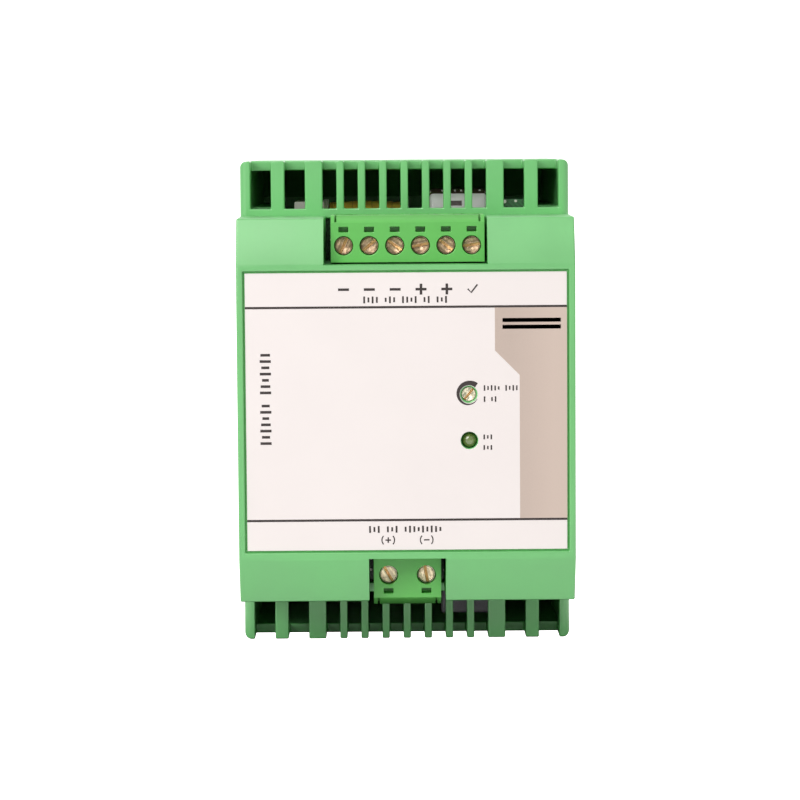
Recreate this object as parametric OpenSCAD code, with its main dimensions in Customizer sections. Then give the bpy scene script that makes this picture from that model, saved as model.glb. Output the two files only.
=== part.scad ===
// Power supply for a 35 mm DIN rail, in a stepped three-module housing.
// X runs right as seen from the front, Y runs back towards the rail, and Z runs up.
// The origin is the middle of the seat face that rests on the rail. All sizes are in millimetres.

/* [Housing] */
// Width over the side walls
housing_width = 67.5; // [66:0.5:72]
// Height over the two end walls
housing_height = 99; // [99:0.5:104]
// Distance from the rail seat to the front frame
housing_depth = 102; // [102:1:112]
// Wall thickness of the shells
wall = 2; // [1.8:0.1:2.2]
// Depth of the nose, from the front frame to the shoulders
nose_depth = 27; // [26:0.5:27]
// Height of the nose over its risers
nose_height = 76.6; // [76:0.2:77.4]
// How deep the slanted faces of the nose run back
slant_depth = 5; // [4:0.5:6]
// How much narrower the nose is at its front, in all
nose_draft = 0.7; // [0.2:0.1:1]
// Depth of the chamfers at the rear corners
rear_chamfer_depth = 10; // [6:0.5:12]
// Height of the chamfers at the rear corners
rear_chamfer_rise = 7.5; // [5:0.5:9]

/* [Front] */
// Height of the flat front frame
frame_height = 58.8; // [58:0.2:60]
// Frame border beside the label
border_side = 1.3; // [1:0.1:2]
// Frame border above the label
border_top = 1.4; // [1:0.1:1.6]
// Frame border below the label
border_bottom = 1.6; // [1.2:0.1:2]
// Depth of the label's recess
recess_depth = 1; // [0.8:0.1:1.2]
// Thickness of the label plate
label_thickness = 0.6; // [0.3:0.1:0.8]
// Gap round the label
label_gap = 0.4; // [0.2:0.05:0.5]

/* [Vents] */
// Spacing of the narrow vent slots
narrow_pitch = 4.39; // [4.2:0.01:4.5]
// Width of a narrow slot
narrow_slot = 2.85; // [2.4:0.05:3.2]
// Number of narrow slots at each end
narrow_count = 8; // [6:2:8]
// Width of a wide slot
wide_slot = 4.2; // [3.6:0.1:4.6]
// Distance of the inner wide slots from the middle
wide_inner_x = 22.5; // [22:0.1:23]
// Distance of the outer wide slots from the middle
wide_outer_x = 29.5; // [29:0.1:29.5]
// Height at which the slots begin
vent_start = 39.7; // [39.4:0.1:41]
// How far the slots run back along the end walls
vent_wrap = 8; // [5:0.5:9]

/* [Output terminals] */
// Spacing of the output poles
output_pitch = 5.08; // [5:0.01:5.08]
// Number of output poles
output_poles = 6; // [2:1:6]
// Middle of the output plug
output_x = 0.45; // [-0.3:0.01:0.5]
// Height of the output screws
output_z = 32.75; // [32.7:0.05:33]
// Depth of the output plug's face behind the frame
output_inset = 5.5; // [5:0.1:6]
// Angles of the screw slots, one after the other
output_slot_angles = [65, 40, -35, 12, -40, 8]; // [-90:5:90]

/* [Input terminals] */
// Spacing of the input poles
input_pitch = 7.62; // [7.5:0.01:7.62]
// Number of input poles
input_poles = 2; // [2:1:2]
// Middle of the input plug
input_x = 0; // [-0.4:0.01:0.4]
// Height of the input screws below the middle
input_z = 33.5; // [33:0.05:33.6]
// Depth of the input plug's face behind the frame
input_inset = 8; // [7.5:0.1:8.2]
// Angles of the screw slots, one after the other
input_slot_angles = [-60, -80]; // [-90:5:90]

/* [Indicators] */
// Sideways place of the voltage trimmer
trimmer_x = 12.3; // [11:0.1:14]
// Height of the voltage trimmer
trimmer_z = 3.45; // [2:0.05:5]
// Radius of the trimmer's rotor
rotor_radius = 1.35; // [1.2:0.05:1.5]
// Angle of the trimmer's slot
rotor_slot_angle = 50; // [0:5:90]
// Sideways place of the status lamp
lamp_x = 12.4; // [11:0.1:14]
// Height of the status lamp
lamp_z = -5.7; // [-7:0.05:-5]
// Radius of the status lamp
lamp_radius = 1.5; // [1.3:0.1:1.5]

/* [Rail foot] */
// Height of the mounting rail
rail_height = 35; // [35:1:35]
// How far the hooks reach behind the rail seat
hook_reach = 5; // [4.6:0.1:6]
// Half the width of the fixed hook
hook_half_width = 20; // [14:1:26]
// Travel of the foot latch
latch_travel = 3.5; // [2.5:0.1:3.6]

/* [Hidden] */

$fn = 48;
half_w = housing_width / 2;
half_h = housing_height / 2;
front_y = -housing_depth;
shoulder_y = front_y + nose_depth;
nose_half = nose_height / 2;
frame_half = frame_height / 2;
slant_y = front_y + slant_depth;
// A small step that makes cuts pass cleanly through a face
pass = 1;

// Inner line of the slanted wall, one wall thickness inside the outer one
slant_rise = nose_half - frame_half;
slant_length = sqrt(slant_depth * slant_depth + slant_rise * slant_rise);
slant_ratio = slant_depth / slant_rise;
inner_slant_y = slant_y + wall * slant_rise / slant_length;
inner_slant_z = nose_half - wall * slant_depth / slant_length;
inner_front_z = inner_slant_z + (front_y + recess_depth + wall - inner_slant_y) / slant_ratio;
inner_nose_z = nose_half - wall;
inner_nose_y = inner_slant_y + (inner_nose_z - inner_slant_z) * slant_ratio;

// Mouth of the base, behind the nose, and the pockets of the two plugs
mouth_half = 37.7;
pocket_floor = 29.1;
pocket_wall = 1.5;
output_pocket_half = 16.2;
input_pocket_half = 7.67;

// Boards
board_t = 1.6;
connector_board_y = shoulder_y + wall + 0.1;
side_board_x = 28.3;
side_board_front = connector_board_y + board_t + 0.8;
side_board_rear = -12;
side_board_half = 38.8;
mount_x = side_board_x - 0.4;
indicator_board_y = front_y + 8.5;

// Nose catches and the windows that they snap into
catch_z = 20;
catch_half = 3;
catch_y = shoulder_y + 5;
catch_length = 2.6;

// One terminal pole, measured back from the plug's face and out from its screw
head_radius = 1.71;
head_hole = 1.9;
head_inset = 1.2;
head_height = 2;
shank_radius = 1.25;
shank_tip = 8.1;
cage_open = 6.9;
cage_length = 6.1;
cage_nut = 1.6;
cage_bar = 0.8;
cage_half_x = 1.9;
cage_half_z = 1.9;
cage_travel = 2.4;
cavity_front = cage_open - cage_travel - 0.2;
cavity_rear = 13.2;
block_rear = 14;
contact_bar = 8.65;
tongue_length = 5.5;
pin_lift = 0.2;
plug_inner = 3.3;
plug_face_top = 4.55;
plug_outer = 5.95;
window_lift = 3.2;
end_margin_output = 2.54;
end_margin_input = 2.94;

// Rail foot
rail_half = rail_height / 2;
seat_half = 14.6;
seat_relief = 0.4;
flange_gap = 1.5;
latch_half = 7.5;
latch_edge = 9;
latch_tip = -15;
latch_bottom = -48.5;
latch_back = 4.6;
spring_top = -26;
spring_room = 3 * latch_travel + 1.5;
stop_top = spring_top - spring_room;
stop_bottom = stop_top - 3;
guide_top = -20;
guide_bottom = -41.5;
window_half = 3;

housing_green = [0.44, 0.75, 0.47];
plug_green = [0.42, 0.76, 0.36];
board_green = [0.10, 0.30, 0.16];
metal = [0.75, 0.72, 0.68];
black = [0.10, 0.10, 0.10];

// ---------- shared shapes ----------

// A box between two opposite corners
module block(low, high) {
    translate(low) cube(high - low);
}

// A side outline, drawn as depth and height, swept from one side to the other
module side_sweep(x_low, x_high) {
    translate([x_low, 0, 0])
        rotate([90, 0, 90])
            linear_extrude(x_high - x_low) children();
}

// A round bar along Y
module bar_y(x, z, y_low, y_high, r) {
    translate([x, y_low, z])
        rotate([-90, 0, 0])
            cylinder(r = r, h = y_high - y_low);
}

// A round bar along X
module bar_x(y, z, x_low, x_high, r) {
    translate([x_low, y, z])
        rotate([0, 90, 0])
            cylinder(r = r, h = x_high - x_low);
}

// The same shape above and below the middle
module both_ends() {
    children();
    mirror([0, 0, 1]) children();
}

// The same shape on the right and on the left
module both_sides() {
    children();
    mirror([1, 0, 0]) children();
}

// Sideways places of the poles of a plug
function pole_x(middle, pitch, count, i) = middle + (i - (count - 1) / 2) * pitch;

// ---------- housing ----------

module base_outline(inset) {
    front = shoulder_y + inset;
    top = half_h - inset;
    rear = -seat_relief - inset;
    chamfer_y = -rear_chamfer_depth - inset / 2;
    chamfer_z = half_h - rear_chamfer_rise - inset / 2;
    polygon([
        [front, -top], [chamfer_y, -top], [rear, -chamfer_z],
        [rear, chamfer_z], [chamfer_y, top], [front, top]
    ]);
}

module vent_slot(x, width) {
    block([x - width / 2, shoulder_y - pass, vent_start],
          [x + width / 2, shoulder_y + vent_wrap, half_h + pass]);
}

module vent_slots() {
    both_ends() {
        for (i = [0 : narrow_count - 1])
            vent_slot(pole_x(0, narrow_pitch, narrow_count, i), narrow_slot);
        both_sides() {
            vent_slot(wide_inner_x, wide_slot);
            vent_slot(wide_outer_x, wide_slot);
        }
    }
}

// Grooved rails on the side walls, which hold the edges of the two side boards
module board_guides() {
    lip = 1.1;
    rail_front = shoulder_y + vent_wrap + 2;
    rail_rear = side_board_rear - 2;
    inner = side_board_x - lip;
    both_ends() both_sides()
        difference() {
            block([inner, rail_front, side_board_half - lip],
                  [half_w - wall + 0.1, rail_rear, side_board_half + lip]);
            block([side_board_x - 0.1, rail_front - pass, side_board_half - lip - pass],
                  [side_board_x + board_t + 0.1, rail_rear + pass, side_board_half + 0.1]);
        }
}

// Flat pad that rests on the flanges of the rail
module seat_pad() {
    block([-half_w, -wall, -seat_half], [half_w, 0, seat_half]);
}

// Fixed hook that grips the upper flange of the rail
module rail_hook() {
    gap_z = rail_half + 0.2;
    side_sweep(-hook_half_width, hook_half_width)
        polygon([
            [-wall, gap_z], [flange_gap, gap_z], [flange_gap, gap_z - 2.4], [flange_gap + 0.8, gap_z - 2.8],
            [hook_reach, gap_z - 1.8], [hook_reach, gap_z + 4.3], [hook_reach - 1.5, gap_z + 6.3],
            [-wall, gap_z + 6.3]
        ]);
}

// Guides with lips that hold the foot latch against the back wall
module latch_guides() {
    guide_outer = 13.5;
    lip_y = 2.9;
    both_sides() {
        block([latch_edge + 0.3, -wall, guide_bottom], [guide_outer, hook_reach, guide_top]);
        block([latch_half + 0.3, lip_y, guide_bottom], [latch_edge + 1, hook_reach, guide_top]);
    }
    block([-window_half + 0.4, -wall, stop_bottom], [window_half - 0.4, latch_back - 0.3, stop_top]);
}

module base_housing() {
    color(housing_green)
    difference() {
        union() {
            difference() {
                side_sweep(-half_w, half_w) base_outline(0);
                side_sweep(-half_w + wall, half_w - wall) base_outline(wall);
                block([-half_w + wall, shoulder_y - pass, -mouth_half],
                      [half_w - wall, shoulder_y + wall + pass, mouth_half]);
            }
            board_guides();
            seat_pad();
            rail_hook();
            latch_guides();
        }
        vent_slots();
        both_sides() both_ends()
            block([half_w - wall - pass, catch_y, catch_z - catch_half],
                  [half_w + pass, catch_y + catch_length + 0.4, catch_z + catch_half]);
    }
}

module nose_outline() {
    polygon([
        [shoulder_y, -nose_half], [shoulder_y, nose_half], [slant_y, nose_half],
        [front_y, frame_half], [front_y, -frame_half], [slant_y, -nose_half]
    ]);
}

module nose_hollow_outline() {
    inner_front = front_y + recess_depth + wall;
    polygon([
        [shoulder_y + pass, -inner_nose_z], [shoulder_y + pass, inner_nose_z],
        [inner_nose_y, inner_nose_z], [inner_front, inner_front_z],
        [inner_front, -inner_front_z], [inner_nose_y, -inner_nose_z]
    ]);
}

// The nose as a full block, slightly narrower at its front
module nose_block() {
    front_half = half_w - nose_draft / 2;
    intersection() {
        side_sweep(-half_w, half_w) nose_outline();
        translate([0, 0, -nose_half])
            linear_extrude(nose_height)
                polygon([
                    [-half_w, shoulder_y], [-front_half, front_y],
                    [front_half, front_y], [half_w, shoulder_y]
                ]);
    }
}

// Cut for a plug, open to the front and to the riser
module plug_pocket(half_x) {
    block([-half_x, front_y - pass, pocket_floor], [half_x, shoulder_y + pass, nose_half + pass]);
}

module pocket_walls(half_x) {
    block([-half_x - pocket_wall, front_y, pocket_floor - pocket_wall],
          [half_x + pocket_wall, shoulder_y, nose_half]);
}

// Snap catches that join the nose to the base
module nose_catches() {
    inner = half_w - wall - 1.45;
    both_sides() both_ends() {
        block([inner, shoulder_y - 4, catch_z - catch_half + 0.4],
              [half_w - wall + 0.1, shoulder_y, catch_z + catch_half - 0.4]);
        block([inner, shoulder_y - 0.1, catch_z - catch_half + 0.4],
              [inner + 1.2, catch_y + catch_length + 1, catch_z + catch_half - 0.4]);
        translate([0, 0, catch_z - catch_half + 0.4])
            linear_extrude(2 * catch_half - 0.8)
                polygon([
                    [inner, catch_y + 0.2], [half_w - 0.5, catch_y + 0.2],
                    [half_w - 0.5, catch_y + 0.9], [inner + 1.1, catch_y + catch_length],
                    [inner, catch_y + catch_length]
                ]);
    }
}

// Outline of the label's recess, made larger or smaller by a margin
module label_field(y_low, y_high, margin) {
    side = half_w - nose_draft / 2 - border_side + margin;
    block([-side, y_low, -frame_half + border_bottom - margin],
          [side, y_high, frame_half - border_top + margin]);
}

module front_housing() {
    color(housing_green) {
        difference() {
            union() {
                difference() {
                    nose_block();
                    side_sweep(-half_w + wall, half_w - wall) nose_hollow_outline();
                }
                intersection() {
                    nose_block();
                    union() {
                        pocket_walls(output_pocket_half);
                        mirror([0, 0, 1]) pocket_walls(input_pocket_half);
                    }
                }
            }
            plug_pocket(output_pocket_half);
            mirror([0, 0, 1]) plug_pocket(input_pocket_half);
            label_field(front_y - pass, front_y + recess_depth, 0);
            bar_y(trimmer_x, trimmer_z, front_y - pass, front_y + 2 * wall, rotor_radius + 0.1);
            bar_y(lamp_x, lamp_z, front_y - pass, front_y + 2 * wall, lamp_radius + 0.1);
        }
        nose_catches();
    }
}

module front_label() {
    label_front = front_y + recess_depth - label_thickness;
    hole_radius = 1.75;
    color([0.96, 0.94, 0.92])
    difference() {
        label_field(label_front, front_y + recess_depth, -label_gap);
        bar_y(trimmer_x, trimmer_z, front_y, front_y + 2 * wall, hole_radius);
        bar_y(lamp_x, lamp_z, front_y, front_y + 2 * wall, hole_radius);
    }
}

// ---------- rail foot ----------

module foot_latch() {
    latch_front = 0.3;
    edge_back = 2.6;
    color(housing_green * 0.8)
    difference() {
        union() {
            block([-latch_half, latch_front, latch_bottom], [latch_half, latch_back, -rail_half - 0.4]);
            block([-latch_edge, latch_front, latch_bottom + 2], [latch_edge, edge_back, -rail_half - 2.5]);
            side_sweep(-latch_half, latch_half)
                polygon([
                    [flange_gap, -rail_half - 1], [flange_gap, latch_tip], [flange_gap + 0.8, latch_tip],
                    [latch_back, latch_tip - 1.6], [latch_back, -rail_half - 1]
                ]);
        }
        block([-window_half, -pass, stop_bottom - 0.3], [window_half, hook_reach + pass, spring_top]);
        block([-window_half - 0.2, -pass, latch_bottom + 1.2], [window_half + 0.2, hook_reach + pass, latch_bottom + 3.8]);
    }
}

// One closed spiral tube: rings of corners along the coil, joined by quads
module coil(radius, wire, length, turns, steps, sides) {
    count = turns * steps;
    corners = [for (i = [0 : count], j = [0 : sides - 1])
        let (a = 360 * i / steps, b = 360 * j / sides, r = radius + wire * cos(b))
        [r * cos(a), r * sin(a), length * i / count + wire * sin(b)]];
    skin = [for (i = [0 : count - 1], j = [0 : sides - 1])
        let (k = (j + 1) % sides)
        [i * sides + j, i * sides + k, (i + 1) * sides + k, (i + 1) * sides + j]];
    first = [for (j = [0 : sides - 1]) sides - 1 - j];
    last = [for (j = [0 : sides - 1]) count * sides + j];
    polyhedron(corners, concat(skin, [first], [last]));
}

module latch_spring() {
    wire = 0.28;
    spring_length = spring_top - stop_top - 2 * wire - 0.3;
    color(metal)
        translate([0, (latch_back + 0.3) / 2, stop_top + wire + 0.15])
            coil(1.6, wire, spring_length, 6, 18, 8);
}

// ---------- terminals ----------

// Cavities of one pole: screw hole, cage space, wire entry, probe window and contact channel
module pole_cavity(x, face, z) {
    bar_y(x, z, face - pass, face + head_inset + head_height + 0.1, head_hole);
    bar_y(x, z, face, face + cavity_front + 0.5, shank_radius + 0.15);
    block([x - cage_half_x - 0.2, face + cavity_front, z - cage_half_z - 0.2],
          [x + cage_half_x + 0.2, face + cavity_rear, z + cage_half_z + 0.2]);
    block([x - 1.75, face + 9.3, z], [x + 1.75, face + 12.5, z + plug_outer + pass]);
    block([x - 0.97, face - pass, z + window_lift - 0.53], [x + 0.97, face + 3, z + window_lift + 0.53]);
    block([x - 1.25, face + contact_bar - 0.15, z - 2.85], [x + 1.25, face + cavity_rear, z - 1.8]);
    block([x - 1.5, face + cavity_rear - 0.1, z - 2.85],
          [x + 1.5, face + block_rear + tongue_length + pass, z + pin_lift + 1.1]);
}

module plug_outline(face, z, tongue_end) {
    tongue_z = z + pin_lift;
    tongue_half = 2.9;
    polygon([
        [face, z - plug_inner], [face, z + plug_face_top], [face + 1.2, z + plug_outer],
        [face + block_rear, z + plug_outer], [face + block_rear, tongue_z + tongue_half],
        [tongue_end, tongue_z + tongue_half], [tongue_end, tongue_z - tongue_half],
        [face + block_rear, tongue_z - tongue_half], [face + block_rear, z - plug_inner]
    ]);
}

// A screw plug with its screws in front and its wire entries on the outer side
module screw_plug(middle, half, pitch, count, face, z) {
    tongue_end = face + block_rear + tongue_length - 0.5;
    shoulder_cut = 0.8;
    difference() {
        side_sweep(middle - half, middle + half) plug_outline(face, z, tongue_end);
        for (i = [0 : count - 1])
            pole_cavity(pole_x(middle, pitch, count, i), face, z);
        for (side = [-1, 1])
            translate([middle + side * half, 0, 0])
                block([-shoulder_cut, face + block_rear, z - 5], [shoulder_cut, tongue_end + pass, z + 5]);
        for (side = [-1, 1])
            translate([middle + side * (half - 0.95), 0, 0])
                block([-0.2, face - pass, z + plug_face_top + 0.1], [0.2, face + 5, z + plug_outer + pass]);
    }
}

// Contact of one pole: clamping bar, runner, riser and the two leaves that grip the pin
module pole_contact(x, face, z) {
    half = 1.1;
    bar_back = face + contact_bar + cage_bar;
    rear = face + block_rear + 4.4;
    leaf_inner = 0.6;
    leaf = 0.3;
    low = z - 2.7;
    pin_z = z + pin_lift;
    block([x - half, face + contact_bar, low], [x + half, bar_back, z + 1.7]);
    block([x - half, face + contact_bar, low], [x + half, face + block_rear + 0.2, low + 0.6]);
    block([x - half, face + block_rear - 0.4, low], [x + half, face + block_rear + 0.2, pin_z - leaf_inner]);
    block([x - half, face + block_rear - 0.4, pin_z - leaf_inner - leaf], [x + half, rear, pin_z - leaf_inner]);
    block([x - half, face + block_rear + 0.6, pin_z + leaf_inner], [x + half, rear, pin_z + leaf_inner + leaf]);
    for (side = [-1, 1])
        translate([x + side * (half - leaf / 2), 0, 0])
            block([-leaf / 2, face + block_rear + 0.6, pin_z - leaf_inner - leaf],
                  [leaf / 2, face + block_rear + 2, pin_z + leaf_inner + leaf]);
}

module terminal_screw(x, face, z, angle) {
    top = face + head_inset;
    slot_width = 0.6;
    slot_depth = 0.8;
    color(metal)
    difference() {
        union() {
            bar_y(x, z, top, top + head_height, head_radius);
            bar_y(x, z, top + head_height - 0.1, face + shank_tip, shank_radius);
        }
        translate([x, 0, z])
            rotate([0, -angle, 0])
                block([-head_radius - pass, top - pass, -slot_width / 2],
                      [head_radius + pass, top + slot_depth, slot_width / 2]);
    }
}

module clamp_cage(x, face, z) {
    side = 0.6;
    start = face + cage_open;
    color(metal)
    difference() {
        block([x - cage_half_x, start, z - cage_half_z],
              [x + cage_half_x, start + cage_length, z + cage_half_z]);
        block([x - cage_half_x + side, start + cage_nut, z - cage_half_z - pass],
              [x + cage_half_x - side, start + cage_length - cage_bar, z + cage_half_z + pass]);
        bar_y(x, z, start - pass, start + cage_nut + pass, shank_radius + 0.05);
    }
}

// Shrouded header that a plug pushes into
module pin_header(middle, half_x, front, z) {
    outer_z = 3.8;
    shell = 0.6;
    floor_y = front + tongue_length;
    difference() {
        block([middle - half_x, front, z - outer_z], [middle + half_x, connector_board_y, z + outer_z]);
        block([middle - half_x + shell, front - pass, z - outer_z + shell],
              [middle + half_x - shell, floor_y, z + outer_z - shell]);
    }
}

module header_pin(x, front, z) {
    half = 0.5;
    block([x - half, front + 0.5, z - half], [x + half, connector_board_y + board_t + 0.7, z + half]);
}

output_face = front_y + output_inset;
input_face = front_y + input_inset;
output_header_front = output_face + block_rear + 0.5;
input_header_front = input_face + block_rear + 0.5;
output_half = (output_poles - 1) * output_pitch / 2 + end_margin_output;
input_half = (input_poles - 1) * input_pitch / 2 + end_margin_input;

function output_pole(i) = pole_x(output_x, output_pitch, output_poles, i);
function input_pole(i) = pole_x(input_x, input_pitch, input_poles, i);

module output_plug() {
    color(plug_green)
        screw_plug(output_x, output_half, output_pitch, output_poles, output_face, output_z);
}

module output_contacts() {
    color(metal)
        for (i = [0 : output_poles - 1])
            pole_contact(output_pole(i), output_face, output_z);
}

module output_header() {
    z = output_z + pin_lift;
    color(plug_green)
    difference() {
        pin_header(output_x, output_half + 0.15, output_header_front, z);
        for (i = [0 : output_poles - 1])
            header_pin(output_pole(i), output_header_front, z);
    }
}

module output_header_pins() {
    color(metal)
        for (i = [0 : output_poles - 1])
            header_pin(output_pole(i), output_header_front, output_z + pin_lift);
}

module output_screw(i) {
    terminal_screw(output_pole(i - 1), output_face, output_z, output_slot_angles[i - 1]);
}

module output_cage(i) {
    clamp_cage(output_pole(i - 1), output_face, output_z);
}

module input_plug() {
    color(plug_green)
        mirror([0, 0, 1])
            screw_plug(input_x, input_half, input_pitch, input_poles, input_face, input_z);
}

module input_contacts() {
    color(metal)
        mirror([0, 0, 1])
            for (i = [0 : input_poles - 1])
                pole_contact(input_pole(i), input_face, input_z);
}

module input_header() {
    z = input_z + pin_lift;
    color(plug_green)
    mirror([0, 0, 1])
    difference() {
        pin_header(input_x, input_half + 0.15, input_header_front, z);
        for (i = [0 : input_poles - 1])
            header_pin(input_pole(i), input_header_front, z);
    }
}

module input_header_pins() {
    color(metal)
        mirror([0, 0, 1])
            for (i = [0 : input_poles - 1])
                header_pin(input_pole(i), input_header_front, input_z + pin_lift);
}

module input_screw(i) {
    terminal_screw(input_pole(i - 1), input_face, -input_z, input_slot_angles[i - 1]);
}

module input_cage(i) {
    clamp_cage(input_pole(i - 1), input_face, -input_z);
}

// ---------- leads through the side boards ----------

// Depth, height and half the spacing of each pair of round leads
lead_radius = 0.35;
mains_capacitor_at = [-28, -3, 5];
fuse_at = [-42, -33.2, 2.5];
output_capacitors_at = [[-62.5, 37.2, 2.5], [-61, 12, 2.5], [-61, -4, 2.5]];
// Depth and height of the middle one of three flat leads
transistor_at = [-20.3, -28];
rectifier_at = [-22.4, 23.2];

module lead_pair(at, x_low, x_high, r) {
    for (side = [-1, 1])
        bar_x(at[0] + side * at[2], at[1], x_low, x_high, r);
}

module lead_row(at, x_low, x_high) {
    pitch = 2.54;
    half = 0.3;
    for (i = [-1 : 1])
        block([x_low, at[0] - half, at[1] + i * pitch - half], [x_high, at[0] + half, at[1] + i * pitch + half]);
}

// ---------- boards ----------

// Board behind the nose that carries the headers
module connector_board() {
    half_x = 29.9;
    half_z = 39;
    rear = connector_board_y + board_t;
    tab_left = 20.4;
    tab_right = 25.4;
    tab_top = 41.4;
    color(board_green)
    difference() {
        union() {
            block([-half_x, connector_board_y, -half_z], [half_x, rear, half_z]);
            block([tab_left, connector_board_y, half_z - pass], [tab_right, rear, tab_top]);
        }
        filter_leads();
        for (i = [0 : output_poles - 1])
            header_pin(output_pole(i), output_header_front, output_z + pin_lift);
        for (i = [0 : input_poles - 1])
            header_pin(input_pole(i), input_header_front, -input_z - pin_lift);
        link_pins();
    }
}

// Small board behind the label, with the trimmer and the lamp
module indicator_board() {
    color(board_green)
    difference() {
        block([4, indicator_board_y, -13], [21, indicator_board_y + board_t, 12]);
        link_pins();
    }
}

// Board on the right, drilled for a few pairs of leads and one row of three flat ones
module side_board(round_leads, flat_leads) {
    lead_room = 0.1;
    difference() {
        block([side_board_x, side_board_front, -side_board_half],
              [side_board_x + board_t, side_board_rear, side_board_half]);
        for (at = round_leads)
            lead_pair(at, side_board_x - pass, side_board_x + board_t + pass, lead_radius + lead_room);
        lead_row(flat_leads, side_board_x - pass, side_board_x + board_t + pass);
    }
}

module primary_board() {
    color(board_green)
        mirror([1, 0, 0]) side_board([mains_capacitor_at, fuse_at], transistor_at);
}

module secondary_board() {
    color(board_green) side_board(output_capacitors_at, rectifier_at);
}

// Pins that join the small board to the connector board
module link_pins() {
    pin = 0.32;
    for (i = [0 : 4])
        translate([7.4 + 2.54 * i, 0, -10.5])
            block([-pin, indicator_board_y - 1.2, -pin], [pin, connector_board_y + board_t + 1, pin]);
}

// Edge pins that join the two side boards to the connector board
module edge_pins() {
    pin = 0.32;
    edge_x = side_board_x - 2.6;
    both_sides()
        for (i = [0 : 9])
            translate([0, 0, -11.43 + 2.54 * i]) {
                block([edge_x - pin, connector_board_y + board_t, -pin],
                      [edge_x + pin, side_board_front + 2.5, pin]);
                block([edge_x - pin, side_board_front + 1.86, -pin],
                      [side_board_x, side_board_front + 2.5, pin]);
            }
}

module board_link_pins() {
    color(metal) {
        link_pins();
        edge_pins();
    }
}

// ---------- indicators ----------

module trimmer_body() {
    half = 3.3;
    body_front = indicator_board_y - 4.8;
    color([0.16, 0.34, 0.62])
    difference() {
        block([trimmer_x - half, body_front, trimmer_z - half], [trimmer_x + half, indicator_board_y, trimmer_z + half]);
        bar_y(trimmer_x, trimmer_z, body_front - pass, body_front + 2.6, rotor_radius + 0.05);
    }
}

module trimmer_rotor() {
    face = front_y + 1.2;
    slot_width = 0.5;
    slot_depth = 0.7;
    color(metal)
    difference() {
        bar_y(trimmer_x, trimmer_z, face, indicator_board_y - 2.4, rotor_radius);
        translate([trimmer_x, 0, trimmer_z])
            rotate([0, -rotor_slot_angle, 0])
                block([-2 * rotor_radius, face - pass, -slot_width / 2],
                      [2 * rotor_radius, face + slot_depth, slot_width / 2]);
    }
}

module status_lamp() {
    dome_y = front_y + 2.2;
    lead = 0.25;
    color([0.30, 0.62, 0.38]) {
        translate([lamp_x, dome_y, lamp_z]) sphere(r = lamp_radius);
        bar_y(lamp_x, lamp_z, dome_y, dome_y + 3.4, lamp_radius);
        bar_y(lamp_x, lamp_z, dome_y + 2.6, dome_y + 3.4, lamp_radius + 0.35);
        for (side = [-1, 1])
            translate([lamp_x + side * 1.27, 0, lamp_z])
                block([-lead, dome_y + 3, -lead], [lead, indicator_board_y, lead]);
    }
}

// ---------- power parts on the primary board ----------

transformer_y = -51;
transformer_z = 27.6;
winding_radius = 13.7;
winding_left = -16;
winding_right = 0;
post_radius = 5.5;
yoke = 3.8;
leg_inner = 14.2;
leg_outer = 18;
core_half_z = 6;

// Ferrite core: two yokes, two outer legs and a round middle post
module transformer_core() {
    yoke_left = winding_left - 1.2;
    yoke_right = winding_right + 1.2;
    color([0.22, 0.21, 0.20]) {
        for (x = [yoke_left - yoke, yoke_right])
            block([x, transformer_y - leg_outer, transformer_z - core_half_z],
                  [x + yoke, transformer_y + leg_outer, transformer_z + core_half_z]);
        for (y = [-leg_outer, leg_inner])
            block([yoke_left - 0.1, transformer_y + y, transformer_z - core_half_z],
                  [yoke_right + 0.1, transformer_y + y + leg_outer - leg_inner, transformer_z + core_half_z]);
        bar_x(transformer_y, transformer_z, yoke_left - 0.1, yoke_right + 0.1, post_radius);
    }
}

// Bobbin: sleeve, two flanges, and a foot that stands on the left board
module transformer_bobbin() {
    sleeve = 0.9;
    foot_half = 10;
    arm_inner = 7;
    arm_outer = 13.3;
    yoke_back = winding_left - 1.2 - yoke - 0.2;
    color([0.90, 0.88, 0.84]) {
        difference() {
            union() {
                bar_x(transformer_y, transformer_z, winding_left - 1, winding_right + 1, post_radius + 0.2 + sleeve);
                for (x = [winding_left - 1, winding_right])
                    bar_x(transformer_y, transformer_z, x, x + 1, winding_radius);
            }
            bar_x(transformer_y, transformer_z, winding_left - 2, winding_right + 2, post_radius + 0.2);
        }
        for (low = [-arm_outer, arm_inner])
            block([yoke_back - 1.8, transformer_y - foot_half, transformer_z + low],
                  [winding_left - 0.9, transformer_y + foot_half, transformer_z + low + arm_outer - arm_inner]);
        block([-mount_x, transformer_y - foot_half, transformer_z - foot_half],
              [yoke_back, transformer_y + foot_half, transformer_z + foot_half]);
    }
}

module transformer_winding() {
    color([0.85, 0.65, 0.13])
    difference() {
        bar_x(transformer_y, transformer_z, winding_left + 0.1, winding_right - 0.1, winding_radius - 0.4);
        bar_x(transformer_y, transformer_z, winding_left - pass, winding_right + pass, post_radius + 1.2);
    }
}

// A can capacitor standing off a side board: sleeve with a crimp groove and a bevelled top
module can_capacitor(y, z, x_base, x_top, r) {
    way = x_top > x_base ? 1 : -1;
    length = abs(x_top - x_base);
    edge = 0.6;
    groove = r / 5;
    translate([x_base, y, z])
        rotate([0, 90 * way, 0])
            rotate_extrude()
                polygon([
                    [0, 0], [r - edge, 0], [r, edge], [r, groove], [r - edge, groove + edge],
                    [r - edge, groove + 2 * edge], [r, groove + 3 * edge],
                    [r, length - edge], [r - edge, length], [0, length]
                ]);
}

module mains_capacitor() {
    color([0.16, 0.16, 0.18]) {
        can_capacitor(mains_capacitor_at[0], mains_capacitor_at[1], -mount_x, 2, 11);
        lead_pair(mains_capacitor_at, -side_board_x - board_t, -mount_x + 0.1, lead_radius);
    }
}

// The block stands behind the connector board and hangs below its edge
filter_left = 7.2;
filter_right = 18;
filter_front = -68;
filter_top = -36;

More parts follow.
